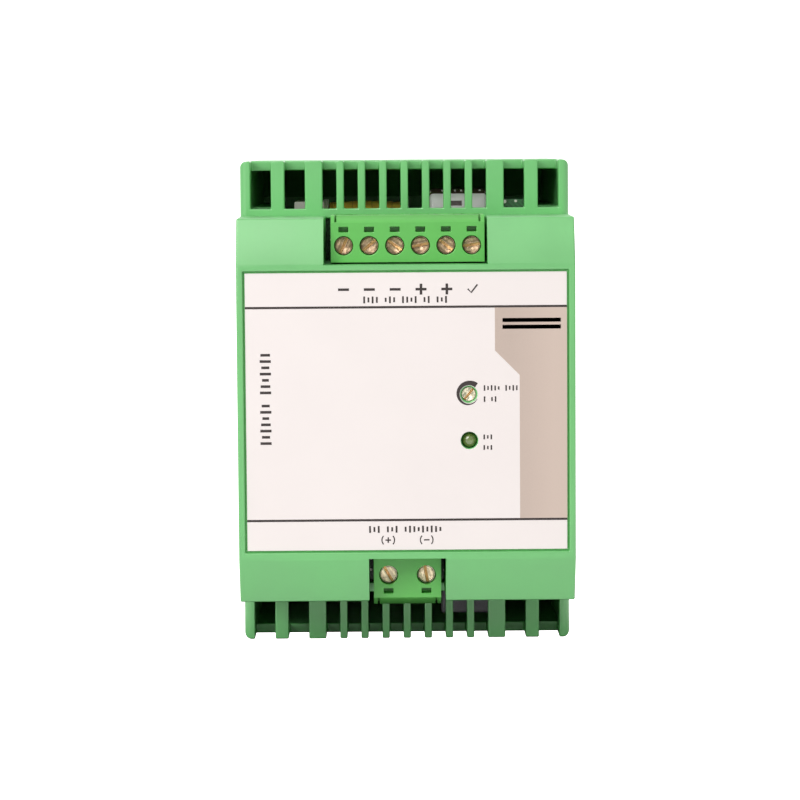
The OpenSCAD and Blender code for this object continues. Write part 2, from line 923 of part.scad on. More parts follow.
module filter_leads() {
    lead_z = filter_top - 1.2;
    lead_inset = 1.6;
    for (x = [filter_left + lead_inset, filter_right - lead_inset])
        bar_y(x, lead_z, connector_board_y - 0.6, filter_front + 0.1, lead_radius);
}

module filter_capacitor() {
    color([0.50, 0.46, 0.52]) {
        block([filter_left, filter_front, -45.4], [filter_right, -55, filter_top]);
        filter_leads();
    }
}

module input_fuse() {
    color([0.35, 0.30, 0.28]) {
        bar_x(fuse_at[0], fuse_at[1], -mount_x, -19.5, 4.2);
        lead_pair(fuse_at, -side_board_x - board_t, -mount_x + 0.1, lead_radius);
    }
}

// Toroid of the line filter and its two coils
choke_at = [-18.5, -54.5, -17.5];

module choke_core() {
    color([0.20, 0.42, 0.24])
        translate(choke_at)
            rotate([90, 0, 90])
                rotate_extrude()
                    translate([7, -4]) square([4.4, 8]);
}

module choke_coils() {
    loop_count = 8;
    color([0.72, 0.38, 0.16])
        translate(choke_at)
            rotate([90, 0, 90])
                for (side = [0, 180], i = [0 : loop_count - 1])
                    rotate([0, 0, side - 56 + 16 * i])
                        translate([9.2, 0, 0])
                            rotate([90, 0, 0])
                                difference() {
                                    cylinder(r = 5.6, h = 1, center = true);
                                    cylinder(r = 4.7, h = 2, center = true);
                                }
}

module bridge_rectifier() {
    color(black)
        block([-mount_x, -20, 19], [-9, -16, 37]);
}

// Plate with ribs across its back
module heat_sink(x_low, x_high, y, z, rib_count, pitch) {
    plate = 2;
    rib = 1.6;
    rib_depth = 3.5;
    block([x_low, y, z], [x_high, y + plate, z + (rib_count - 1) * pitch + rib]);
    for (i = [0 : rib_count - 1])
        block([x_low, y + plate - 0.1, z + pitch * i], [x_high, y + plate + rib_depth, z + pitch * i + rib]);
}

module primary_heat_sink() {
    color([0.70, 0.71, 0.72])
        heat_sink(-mount_x, 2, -18, -37.4, 5, 5.2);
}

// Flat-backed semiconductor with three leads that reach through a board
module power_device(x_low, x_high, y_front, y_rear, z_half, at, lead_low, lead_high) {
    block([x_low, y_front, at[1] - z_half], [x_high, y_rear, at[1] + z_half]);
    lead_row(at, lead_low, lead_high);
}

module switch_transistor() {
    color(black)
        power_device(-18, -3, -22.6, -18.1, 5, transistor_at, -side_board_x - board_t, -17.9);
}

module suppression_capacitors() {
    color([0.16, 0.36, 0.62])
        for (z = [-1, 8])
            bar_x(-62.5, z, -mount_x, -23.5, 3.6);
}

// ---------- power parts on the secondary board ----------

module secondary_heat_sink() {
    color([0.70, 0.71, 0.72])
        heat_sink(4.5, mount_x, -20, 3.4, 7, 5.4);
}

module output_rectifier() {
    color(black)
        power_device(9, 24, -24.7, -20.1, 5.2, rectifier_at, 23.9, side_board_x + board_t);
}

// Screws that clamp the two semiconductors to their heat sinks
module heat_sink_screws() {
    color(metal) {
        bar_y(12, rectifier_at[1], -26.4, -24.8, 2.6);
        bar_y(-6, transistor_at[1], -24.3, -22.7, 2.6);
    }
}

module output_inductor() {
    color([0.74, 0.42, 0.20])
        translate([17.5, -40, -25])
            rotate([90, 0, 90])
                rotate_extrude()
                    translate([9, 0]) circle(r = 4.4);
}

module output_capacitor(at, x_base, x_top) {
    color([0.25, 0.22, 0.22]) {
        can_capacitor(at[0], at[1], x_base, x_top, 6.3);
        lead_pair(at, x_base - 0.1, side_board_x + board_t, lead_radius);
    }
}

module output_capacitor_1() {
    output_capacitor(output_capacitors_at[0], 19.9, 5.2);
}

module output_capacitor_2() {
    output_capacitor(output_capacitors_at[1], mount_x, 8);
}

module output_capacitor_3() {
    output_capacitor(output_capacitors_at[2], mount_x, 8);
}

// Controller, optical coupler and driver on the secondary board
module control_chips() {
    color(black)
        for (chip = [[-46, 8, 6], [-46, -6, 4.6], [-34, -6, 6.4]])
            block([side_board_x - 3.4, chip[0], chip[1]], [side_board_x - 0.1, chip[0] + 6.4, chip[1] + chip[2]]);
}

// ---------- assembly ----------

base_housing();
front_housing();
front_label();
foot_latch();
latch_spring();
connector_board();
indicator_board();
primary_board();
secondary_board();
board_link_pins();
output_header();
output_header_pins();
input_header();
input_header_pins();
output_plug();
output_contacts();
input_plug();
input_contacts();
output_screw(1);  // output_screw_1
output_screw(2);  // output_screw_2
output_screw(3);  // output_screw_3
output_screw(4);  // output_screw_4
output_screw(5);  // output_screw_5
output_screw(6);  // output_screw_6
output_cage(1);  // output_cage_1
output_cage(2);  // output_cage_2
output_cage(3);  // output_cage_3
output_cage(4);  // output_cage_4
output_cage(5);  // output_cage_5
output_cage(6);  // output_cage_6
input_screw(1);  // input_screw_1
input_screw(2);  // input_screw_2
input_cage(1);  // input_cage_1
input_cage(2);  // input_cage_2
trimmer_body();
trimmer_rotor();
status_lamp();
transformer_core();
transformer_bobbin();
transformer_winding();
mains_capacitor();
filter_capacitor();
input_fuse();
choke_core();
choke_coils();
bridge_rectifier();
switch_transistor();
primary_heat_sink();
suppression_capacitors();
output_rectifier();
secondary_heat_sink();
heat_sink_screws();
output_inductor();
output_capacitor_1();
output_capacitor_2();
output_capacitor_3();
control_chips();
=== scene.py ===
"""Looks of a DIN rail power supply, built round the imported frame.

Lengths are in metres, in the frame of the CAD model: X runs right as seen from the front, Y runs back
towards the rail, and Z runs up. The housing, plugs, boards and parts are dressed one sub-assembly at a
time, and every place is read from the frame's own nodes.
"""

from __future__ import annotations

import logging
import math
from dataclasses import dataclass
from enum import Enum
from typing import Callable, Optional, Sequence

import bmesh
import bpy
from mathutils import Matrix, Vector


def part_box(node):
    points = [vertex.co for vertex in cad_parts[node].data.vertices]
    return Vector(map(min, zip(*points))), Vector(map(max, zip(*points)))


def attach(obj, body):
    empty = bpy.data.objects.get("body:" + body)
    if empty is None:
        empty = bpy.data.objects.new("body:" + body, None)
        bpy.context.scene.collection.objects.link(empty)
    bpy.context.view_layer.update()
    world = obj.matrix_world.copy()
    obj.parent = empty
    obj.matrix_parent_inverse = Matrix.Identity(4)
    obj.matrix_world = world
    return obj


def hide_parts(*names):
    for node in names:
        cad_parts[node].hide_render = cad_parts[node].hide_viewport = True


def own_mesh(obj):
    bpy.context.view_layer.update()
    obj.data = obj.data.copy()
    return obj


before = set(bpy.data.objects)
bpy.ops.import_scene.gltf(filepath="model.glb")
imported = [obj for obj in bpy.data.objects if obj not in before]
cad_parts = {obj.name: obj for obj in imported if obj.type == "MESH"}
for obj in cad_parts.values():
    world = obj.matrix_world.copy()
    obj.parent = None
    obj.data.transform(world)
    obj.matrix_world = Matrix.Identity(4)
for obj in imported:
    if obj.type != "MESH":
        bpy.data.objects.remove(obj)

LOG = logging.getLogger("power_supply")
MM = 0.001
Colour = tuple[float, float, float]
Point = tuple[float, float, float]
Flat = tuple[float, float]


def srgb(red: int, green: int, blue: int) -> Colour:
    """Turns a screen colour into a linear one.

    Args:
        red: Red from 0 to 255.
        green: Green from 0 to 255.
        blue: Blue from 0 to 255.

    Returns:
        The three linear values, from 0 to 1.
    """

    def linear(value: int) -> float:
        """Gives the linear value of one channel."""
        share = value / 255
        return share / 12.92 if share <= 0.04045 else ((share + 0.055) / 1.055) ** 2.4

    return linear(red), linear(green), linear(blue)


def shade(colour: Colour, factor: float) -> Colour:
    """Makes a colour lighter or darker.

    Args:
        colour: The linear colour.
        factor: What each channel is multiplied by.

    Returns:
        The new colour, held below 1.
    """
    return tuple(min(channel * factor, 1.0) for channel in colour)


# ---------------------------------------------------------------------------
# Materials
# ---------------------------------------------------------------------------


class Graph:
    """The node tree of one material, with short calls that add and join nodes."""

    def __init__(self, name: str) -> None:
        """Starts a material with an empty Principled shader.

        Args:
            name: Name of the material.
        """
        self.material = bpy.data.materials.new(name)
        self.material.use_nodes = True
        self.nodes = self.material.node_tree.nodes
        self.links = self.material.node_tree.links
        self.shader = self.nodes["Principled BSDF"]

    def add(self, kind: str, inputs: Optional[dict] = None, **settings: object) -> bpy.types.Node:
        """Adds a node.

        Args:
            kind: Blender's name for the node type.
            inputs: Values or sockets for its inputs, by name or index.
            **settings: Properties of the node.

        Returns:
            The new node.
        """
        node = self.nodes.new(kind)
        for key, value in settings.items():
            setattr(node, key, value)
        for key, value in (inputs or {}).items():
            if isinstance(value, bpy.types.NodeSocket):
                self.links.new(value, node.inputs[key])
            else:
                node.inputs[key].default_value = value
        return node

    def coords(self, stretch: Point = (1, 1, 1), shift: Point = (0, 0, 0)) -> bpy.types.NodeSocket:
        """Object coordinates, stretched and shifted.

        Args:
            stretch: Scale along each axis.
            shift: Shift in metres, before the stretch.

        Returns:
            The vector socket.
        """
        source = self.add("ShaderNodeTexCoord").outputs["Object"]
        moved = self.add("ShaderNodeVectorMath", {0: source, 1: shift}, operation="ADD")
        scaled = {0: moved.outputs[0], 1: stretch}
        return self.add("ShaderNodeVectorMath", scaled, operation="MULTIPLY").outputs[0]

    def noise(
        self, size: float, detail: float = 3, vector: Optional[bpy.types.NodeSocket] = None
    ) -> bpy.types.NodeSocket:
        """Noise whose lumps have about the given size.

        Args:
            size: Size of a lump, in metres.
            detail: Number of finer layers.
            vector: Coordinates to use in place of plain object ones.

        Returns:
            The factor socket, from 0 to 1.
        """
        inputs = {"Vector": vector or self.coords(), "Scale": 1 / size, "Detail": detail}
        return self.add("ShaderNodeTexNoise", inputs).outputs["Fac"]

    def stretch_range(
        self, value: bpy.types.NodeSocket, low: float, high: float, new_low: float = 0, new_high: float = 1
    ) -> bpy.types.NodeSocket:
        """Maps one range of a value onto another, and clamps it.

        Args:
            value: The socket to map.
            low: Lowest value in.
            high: Highest value in.
            new_low: Value out at the lowest.
            new_high: Value out at the highest.

        Returns:
            The mapped socket.
        """
        inputs = {"Value": value, "From Min": low, "From Max": high, "To Min": new_low, "To Max": new_high}
        return self.add("ShaderNodeMapRange", inputs).outputs["Result"]

    def band(self, value: bpy.types.NodeSocket, middle: float, spread: float) -> bpy.types.NodeSocket:
        """Maps a noise onto a band of values.

        Args:
            value: The noise socket.
            middle: Middle of the band.
            spread: How far the band reaches either way.

        Returns:
            The mapped socket.
        """
        return self.stretch_range(value, 0.3, 0.7, middle - spread, middle + spread)

    def math(self, operation: str, *values: object) -> bpy.types.NodeSocket:
        """Works out one step of arithmetic.

        Args:
            operation: Blender's name for the operation.
            *values: Sockets or numbers.

        Returns:
            The result socket.
        """
        return self.add("ShaderNodeMath", dict(enumerate(values)), operation=operation).outputs[0]

    def mix(self, factor: object, first: object, second: object, blend: str = "MIX") -> bpy.types.NodeSocket:
        """Mixes two colours.

        Args:
            factor: Share of the second colour, a socket or a number.
            first: A colour or a socket.
            second: A colour or a socket.
            blend: Blend type.

        Returns:
            The mixed colour socket.
        """
        inputs = {0: factor, 6: self.rgba(first), 7: self.rgba(second)}
        return self.add("ShaderNodeMix", inputs, data_type="RGBA", blend_type=blend).outputs[2]

    @staticmethod
    def rgba(value: object) -> object:
        """Gives a plain colour its fourth channel, and leaves a socket alone."""
        return (*value, 1.0) if isinstance(value, tuple) and len(value) == 3 else value

    def axes(self) -> list[bpy.types.NodeSocket]:
        """The three object coordinates as separate sockets."""
        source = self.add("ShaderNodeTexCoord").outputs["Object"]
        return list(self.add("ShaderNodeSeparateXYZ", {0: source}).outputs)

    def edge(self) -> bpy.types.NodeSocket:
        """The mask of rounded edges, 1 on them and 0 elsewhere."""
        return self.add("ShaderNodeAttribute", attribute_name="rounded").outputs["Fac"]

    def bump(
        self, height: bpy.types.NodeSocket, depth: float, below: Optional[bpy.types.NodeSocket] = None
    ) -> bpy.types.NodeSocket:
        """Turns a height into a bumped normal.

        Args:
            height: The height socket, from 0 to 1.
            depth: Depth of the relief, in metres.
            below: A normal socket to build on.

        Returns:
            The normal socket.
        """
        inputs = {"Height": height, "Strength": 1.0, "Distance": depth}
        if below is not None:
            inputs["Normal"] = below
        return self.add("ShaderNodeBump", inputs).outputs["Normal"]

    def surface(self, **inputs: object) -> None:
        """Sets or links inputs of the shader, written with underscores for spaces."""
        for key, value in inputs.items():
            socket = self.shader.inputs[key.replace("_", " ")]
            if isinstance(value, bpy.types.NodeSocket):
                self.links.new(value, socket)
            elif isinstance(value, tuple):
                socket.default_value = self.rgba(value) if socket.type == "RGBA" else value
            else:
                socket.default_value = value


@dataclass(frozen=True)
class Finish:
    """A surface finish, which makes its material once and hands it out again.

    Attributes:
        name: Name of the material.
        colour: Main linear colour.
        roughness: Mean roughness.
    """

    name: str
    colour: Colour
    roughness: float

    def material(self) -> bpy.types.Material:
        """The finish's material, made on first use."""
        found = bpy.data.materials.get(f"{self.name}_finish")
        if found is not None:
            return found
        graph = Graph(f"{self.name}_finish")
        self.paint(graph)
        return graph.material

    def paint(self, graph: Graph) -> None:
        """Fills in the material's nodes.

        Args:
            graph: The node tree to fill.
        """
        raise NotImplementedError


@dataclass(frozen=True)
class MouldedPlastic(Finish):
    """Injection-moulded plastic with a fine spark-eroded grain, polished edges and a painted highlight on
    them.

    Attributes:
        grain: Size of the grain.
        relief: Depth of the grain.
        mottle: How far the colour wanders.
        edge_highlight: How much lighter the rounded edges are painted, as a highlight.
        gloss: Strength of its reflections.
    """

    grain: float = 0.16 * MM
    relief: float = 0.006 * MM
    mottle: float = 0.05
    edge_highlight: float = 1.12
    gloss: float = 0.5

    def paint(self, graph: Graph) -> None:
        """Mottles the colour, paints a highlight on the rounded edges and adds the grain."""
        clouds = graph.noise(11 * MM, 4)
        specks = graph.noise(0.5 * MM, 2)
        spread = graph.stretch_range(clouds, 0.3, 0.7)
        body = graph.mix(spread, shade(self.colour, 1 - self.mottle), shade(self.colour, 1 + self.mottle))
        dust = graph.stretch_range(specks, 0.62, 0.78, 0.0, 0.35)
        body = graph.mix(dust, body, shade(self.colour, 1 - 2.2 * self.mottle))
        # Lighter colour on the rounded edges: a painted highlight; their lower roughness below is the
        # polish.
        colour = graph.mix(graph.edge(), body, shade(self.colour, self.edge_highlight))
        rough = graph.band(clouds, self.roughness, 0.05)
        rough = graph.math("SUBTRACT", rough, graph.math("MULTIPLY", graph.edge(), 0.12))
        grain = graph.bump(graph.noise(self.grain, 2), self.relief)
        sink = graph.bump(graph.noise(24 * MM, 1), 0.05 * MM, grain)
        graph.surface(Base_Color=colour, Roughness=rough, Normal=sink)
        graph.surface(Specular_IOR_Level=self.gloss)


@dataclass(frozen=True)
class PlatedMetal(Finish):
    """Plated or drawn metal with fine marks and a tarnish in its hollows.

    Attributes:
        tarnish: Colour of the stains.
        stain: Share of the surface that is stained.
        brush: Stretch of the fine marks along each axis.
        mark: Size of the fine marks.
    """

    tarnish: Colour = (0.2, 0.12, 0.07)
    stain: float = 0.3
    brush: Point = (1, 1, 1)
    mark: float = 0.14 * MM

    def paint(self, graph: Graph) -> None:
        """Stains the plating, paints a highlight on the rounded edges and adds the drawn or turned marks."""
        stains = graph.noise(0.9 * MM, 5)
        lines = graph.noise(self.mark, 3, graph.coords(self.brush))
        dark = graph.stretch_range(stains, 0.62 - 0.25 * self.stain, 0.8, 0.0, 0.75)
        worn = graph.stretch_range(lines, 0.35, 0.65)
        body = graph.mix(worn, shade(self.colour, 0.86), shade(self.colour, 1.08))
        body = graph.mix(dark, body, self.tarnish)
        # Lighter colour on the rounded edges: a painted highlight.
        colour = graph.mix(graph.edge(), body, shade(self.colour, 1.15))
        rough = graph.stretch_range(stains, 0.3, 0.7, self.roughness - 0.1, self.roughness + 0.14)
        normal = graph.bump(lines, 0.008 * MM)
        graph.surface(Base_Color=colour, Metallic=1.0, Roughness=rough, Normal=normal)


@dataclass(frozen=True)
class TurnedHead(PlatedMetal):
    """Face of a turned screw or rotor: rings round its middle, a painted highlight in its slot, a painted
    shadow ring at its rim.

    Attributes:
        centre: Sideways place and height of its middle.
        radius: Radius of its head.
        slot_turn: Direction of the painted reflection streaks on its face.
        slot_highlight: Colour of the painted highlight in the bottom of its slot.
        reflection_streak: How dark the dark streaks of the painted reflection on its face are.
    """

    centre: Flat = (0.0, 0.0)
    radius: float = 1.0 * MM
    slot_turn: float = 0.0
    slot_highlight: Colour = srgb(226, 178, 124)
    reflection_streak: float = 0.55

    def paint(self, graph: Graph) -> None:
        """Draws the rings, the painted reflection streaks, the painted highlights in the slot and on the
        edges, and the painted shadow ring at the rim.
        """
        x, _, z = graph.axes()
        across = graph.math("SUBTRACT", x, self.centre[0])
        up = graph.math("SUBTRACT", z, self.centre[1])
        squares = graph.math("ADD", graph.math("MULTIPLY", across, across), graph.math("MULTIPLY", up, up))
        away = graph.math("SQRT", squares)
        wobble = graph.noise(0.8 * MM, 3)
        rings = graph.math("SINE", graph.math("ADD", graph.math("MULTIPLY", away, 52 / MM), wobble))
        side = graph.math(
            "ADD",
            graph.math("MULTIPLY", across, -math.sin(self.slot_turn)),
            graph.math("MULTIPLY", up, math.cos(self.slot_turn)),
        )
        # Light and dark streaks across the face: a painted reflection.
        reflection_streaks = graph.math("SINE", graph.math("ADD", graph.math("MULTIPLY", side, 7 / MM), wobble))
        stains = graph.noise(0.7 * MM, 5)
        low = shade(self.colour, self.reflection_streak)
        light = graph.mix(graph.stretch_range(reflection_streaks, -1, 1), low, shade(self.colour, 1.25))
        light = graph.mix(graph.stretch_range(rings, -1, 1, 0.0, 0.25), light, shade(self.colour, 0.5))
        dark = graph.stretch_range(stains, 0.6 - 0.25 * self.stain, 0.78, 0.0, 0.8)
        body = graph.mix(dark, light, self.tarnish)
        # A dark ring at the rim of the head: painted shadow of the gap round it.
        rim_shadow = graph.stretch_range(away, 0.84 * self.radius, 0.94 * self.radius)
        body = graph.mix(rim_shadow, body, shade(self.tarnish, 0.25))
        groove = graph.add("ShaderNodeAttribute", attribute_name="groove").outputs["Fac"]
        # Rounded edges get a much lighter colour: a painted highlight.
        body = graph.mix(graph.edge(), body, shade(self.colour, 1.5))
        # The slot's faces get a light warm colour: a painted highlight.
        body = graph.mix(groove, body, self.slot_highlight)
        rough = graph.stretch_range(stains, 0.3, 0.7, self.roughness - 0.08, self.roughness + 0.2)
        graph.surface(Base_Color=body, Metallic=0.85, Roughness=rough)
        graph.surface(Normal=graph.bump(rings, 0.012 * MM, graph.bump(stains, 0.05 * MM)))


@dataclass(frozen=True)
class PrintInk(Finish):
    """Screen-printed ink: flat, slightly uneven and a little rough."""

    def paint(self, graph: Graph) -> None:
        """Varies the density of the ink a little."""
        density = graph.stretch_range(graph.noise(0.35 * MM, 4), 0.3, 0.7)
        colour = graph.mix(density, self.colour, shade(self.colour, 1.35))
        rough = graph.stretch_range(density, 0, 1, self.roughness - 0.08, self.roughness + 0.08)
        graph.surface(Base_Color=colour, Roughness=rough, Normal=graph.bump(density, 0.004 * MM))


@dataclass(frozen=True)
class PrintedField(Finish):
    """A printed grey field that darkens towards its left border.

    Attributes:
        dark_x: Sideways place of the darker border.
        light_x: Where the full lightness is reached.
    """

    dark_x: float = 0.0
    light_x: float = 1.0

    def paint(self, graph: Graph) -> None:
        """Fades the field sideways and gives it a fine halftone."""
        across = graph.stretch_range(graph.axes()[0], self.dark_x, self.light_x)
        dots = graph.add("ShaderNodeTexVoronoi", {"Vector": graph.coords(), "Scale": 1 / (0.22 * MM)})
        screen = graph.stretch_range(dots.outputs["Distance"], 0.1, 0.6, 0.0, 0.12)
        fade = graph.mix(across, shade(self.colour, 0.86), self.colour)
        colour = graph.mix(screen, fade, shade(self.colour, 1.15))
        graph.surface(Base_Color=colour, Roughness=self.roughness)
        graph.surface(Normal=graph.bump(graph.noise(0.3 * MM, 2), 0.003 * MM))


@dataclass(frozen=True)
class LabelFilm(Finish):
    """Satin plastic film with a faint orange-peel surface."""

    def paint(self, graph: Graph) -> None:
        """Adds faint clouds and the film's soft relief."""
        clouds = graph.stretch_range(graph.noise(16 * MM, 3), 0.3, 0.7)
        colour = graph.mix(clouds, self.colour, shade(self.colour, 1.02))
        peel = graph.bump(graph.noise(0.6 * MM, 2), 0.004 * MM)
        graph.surface(Base_Color=colour, Normal=peel, Coat_Weight=0.15, Coat_Roughness=0.3)
        rough = graph.stretch_range(clouds, 0, 1, self.roughness - 0.04, self.roughness + 0.04)
        graph.surface(Roughness=rough)


@dataclass(frozen=True)
class BoardLaminate(Finish):
    """Circuit board: solder mask over copper tracks, with a bare edge.

    Attributes:
        track: Colour of the mask where copper lies under it.
        pitch: Spacing of the tracks.
        flat_axis: Index of the axis across the board's thickness.
    """

    track: Colour = (0.05, 0.2, 0.08)
    pitch: float = 2.54 * MM
    flat_axis: int = 0

    def paint(self, graph: Graph) -> None:
        """Draws square-cornered tracks under the mask, and dots of solder."""
        squash = tuple(0.001 if axis == self.flat_axis else 1.0 for axis in range(3))
        vector = graph.coords(squash)
        coarse = {"Vector": vector, "Scale": 1 / (2 * self.pitch)}
        cells = graph.add("ShaderNodeTexVoronoi", coarse, feature="F1", distance="MANHATTAN")
        steps = graph.math("FRACT", graph.math("MULTIPLY", cells.outputs["Distance"], 5.0))
        track = graph.stretch_range(steps, 0.48, 0.54)
        fine = {"Vector": vector, "Scale": 1 / self.pitch, "Randomness": 0.15}
        pads = graph.add("ShaderNodeTexVoronoi", fine)
        pad = graph.stretch_range(pads.outputs["Distance"], 0.17, 0.14)
        colour = graph.mix(track, self.colour, self.track)
        colour = graph.mix(pad, colour, srgb(186, 184, 176))
        rough = graph.band(graph.noise(3 * MM, 3), self.roughness, 0.08)
        height = graph.math("ADD", graph.math("MULTIPLY", track, 0.5), pad)
        graph.surface(Base_Color=colour, Roughness=rough, Metallic=graph.math("MULTIPLY", pad, 0.8))
        graph.surface(Normal=graph.bump(height, 0.03 * MM))


@dataclass(frozen=True)
class WoundTape(Finish):
    """Polyester tape wound round a coil, with the edges of its layers showing.

    Attributes:
        layer: Spacing of the tape's edges, along X.
    """

    layer: float = 2.1 * MM

    def paint(self, graph: Graph) -> None:
        """Darkens the tape along its edges and wrinkles it."""
        wobble = graph.math("MULTIPLY", graph.noise(5 * MM, 2), 0.6 * MM)
        along = graph.math("DIVIDE", graph.math("ADD", graph.axes()[0], wobble), self.layer)
        saw = graph.math("FRACT", along)
        line = graph.stretch_range(saw, 0.86, 0.98)
        clouds = graph.stretch_range(graph.noise(2.4 * MM, 4), 0.3, 0.7)
        body = graph.mix(clouds, shade(self.colour, 0.8), shade(self.colour, 1.15))
        colour = graph.mix(graph.math("MULTIPLY", line, 0.6), body, shade(self.colour, 0.35))
        wrinkle = graph.bump(graph.noise(1.3 * MM, 3, graph.coords((0.3, 1, 1))), 0.12 * MM)
        graph.surface(Base_Color=colour, Roughness=self.roughness, Coat_Weight=0.4, Coat_Roughness=0.15)
        graph.surface(Normal=graph.bump(saw, 0.05 * MM, wrinkle))


@dataclass(frozen=True)
class ShrinkSleeve(Finish):
    """Printed shrink sleeve of a can capacitor lying along X: a stripe with minus marks.

    Attributes:
        stripe: Colour of the stripe.
        centre: Depth and height of the can's axis.
        turn: Angle of the stripe's middle round the axis, from the front upwards.
        half_angle: Half the angle that the stripe takes up.
        mark_pitch: Spacing of the minus marks along the can.
        mark_shift: Place of one mark along the can.
    """

    stripe: Colour = (0.5, 0.5, 0.5)
    centre: Flat = (0.0, 0.0)
    turn: float = 0.0
    half_angle: float = math.radians(24)
    mark_pitch: float = 9.5 * MM
    mark_shift: float = 0.0

    def paint(self, graph: Graph) -> None:
        """Paints the stripe with its marks, a row of dashes beside it and the wrinkles of the sleeve."""
        x, y, z = graph.axes()
        forward = graph.math("SUBTRACT", self.centre[0], y)
        upward = graph.math("SUBTRACT", z, self.centre[1])
        angle = graph.math("SUBTRACT", graph.math("ARCTAN2", upward, forward), self.turn)
        away = graph.math("ABSOLUTE", angle)
        edge = math.radians(1.5)
        in_stripe = graph.stretch_range(away, self.half_angle + edge, self.half_angle)
        in_mark = graph.stretch_range(away, 0.2 * self.half_angle + edge, 0.2 * self.half_angle)
        moved = graph.math("SUBTRACT", x, self.mark_shift - self.mark_pitch / 2)
        along = graph.math("FRACT", graph.math("DIVIDE", moved, self.mark_pitch))
        near = graph.math("ABSOLUTE", graph.math("SUBTRACT", along, 0.5))
        in_mark = graph.math("MULTIPLY", in_mark, graph.stretch_range(near, 0.13, 0.12))
        row = graph.math("ABSOLUTE", graph.math("SUBTRACT", angle, self.half_angle + math.radians(14)))
        in_row = graph.stretch_range(row, math.radians(5), math.radians(4))
        dash = graph.math("FRACT", graph.math("DIVIDE", x, 1.3 * MM))
        gap = graph.math("FRACT", graph.math("DIVIDE", x, 7.7 * MM))
        in_row = graph.math("MULTIPLY", in_row, graph.stretch_range(dash, 0.36, 0.3))
        in_row = graph.math("MULTIPLY", in_row, graph.stretch_range(gap, 0.74, 0.72))
        clouds = graph.stretch_range(graph.noise(2 * MM, 3), 0.3, 0.7)
        body = graph.mix(clouds, self.colour, shade(self.colour, 1.3))
        band = graph.mix(in_mark, graph.mix(clouds, shade(self.stripe, 0.9), self.stripe), self.colour)
        body = graph.mix(graph.math("MULTIPLY", in_row, 0.8), body, self.stripe)
        colour = graph.mix(in_stripe, body, band)
        shrink = graph.bump(graph.noise(1.1 * MM, 3, graph.coords((1, 0.4, 0.4))), 0.03 * MM)
        graph.surface(Base_Color=colour, Roughness=self.roughness, Normal=shrink, Coat_Weight=0.3)
        graph.surface(Coat_Roughness=0.1)


@dataclass(frozen=True)
class PressedPowder(Finish):
    """Pressed or cast material with a granular surface: ferrite, resin and coatings.

    Attributes:
        grain: Size of the grains.
        relief: Depth of the grains.
        contrast: How far the grains differ in colour.
    """

    grain: float = 0.3 * MM
    relief: float = 0.02 * MM
    contrast: float = 0.25

    def paint(self, graph: Graph) -> None:
        """Speckles the colour, paints a highlight on the rounded edges and roughens the surface."""
        grains = graph.noise(self.grain, 5)
        patches = graph.noise(6 * MM, 3)
        light = shade(self.colour, 1 + self.contrast)
        spread = graph.stretch_range(grains, 0.35, 0.65)
        body = graph.mix(spread, shade(self.colour, 1 - self.contrast), light)
        body = graph.mix(graph.stretch_range(patches, 0.45, 0.7, 0.0, 0.4), body, light)
        # Lighter colour on the rounded edges: a painted highlight.
        colour = graph.mix(graph.edge(), body, shade(self.colour, 1 + 2 * self.contrast))
        rough = graph.band(patches, self.roughness, 0.07)
        graph.surface(Base_Color=colour, Roughness=rough, Normal=graph.bump(grains, self.relief))


@dataclass(frozen=True)
class EnamelledWire(Finish):
    """Copper wire under a coat of enamel."""

    def paint(self, graph: Graph) -> None:
        """Varies the enamel's depth of colour along the wire."""
        depth = graph.stretch_range(graph.noise(1.5 * MM, 3), 0.3, 0.7)
        colour = graph.mix(depth, shade(self.colour, 0.7), shade(self.colour, 1.15))
        graph.surface(Base_Color=colour, Metallic=0.85, Roughness=self.roughness)
        graph.surface(Normal=graph.bump(graph.noise(0.2 * MM, 2), 0.006 * MM))
        graph.surface(Coat_Weight=0.6, Coat_Roughness=0.08)


@dataclass(frozen=True)
class LampLens(Finish):
    """Tinted, diffusing resin of an unlit lamp."""

    def paint(self, graph: Graph) -> None:
        """Clouds the resin and lets a little light through."""
        clouds = graph.stretch_range(graph.noise(0.8 * MM, 3), 0.3, 0.7)
        colour = graph.mix(clouds, shade(self.colour, 0.75), shade(self.colour, 1.2))
        graph.surface(Base_Color=colour, Roughness=self.roughness, Transmission_Weight=0.25, IOR=1.5)
        graph.surface(Coat_Weight=0.8, Coat_Roughness=0.05)
        graph.surface(Normal=graph.bump(clouds, 0.01 * MM))


@dataclass(frozen=True)
class StudioPaper(Finish):
    """Plain pale paper of the studio floor."""

    def paint(self, graph: Graph) -> None:
        """Gives the paper a very faint tooth."""
        tooth = graph.noise(1.2 * MM, 3)
        colour = graph.mix(tooth, self.colour, shade(self.colour, 1.01))
        graph.surface(Base_Color=colour, Roughness=self.roughness, Specular_IOR_Level=0.1)
        graph.surface(Emission_Color=(1.0, 1.0, 1.0), Emission_Strength=0.9)


@dataclass(frozen=True)
class StudioCard(Finish):
    """Black felt of the cards that shade the object."""

    def paint(self, graph: Graph) -> None:
        """Gives the felt a faint nap."""
        nap = graph.noise(1.5 * MM, 2)
        colour = graph.mix(nap, self.colour, shade(self.colour, 1.5))
        graph.surface(Base_Color=colour, Roughness=self.roughness, Specular_IOR_Level=0.0)


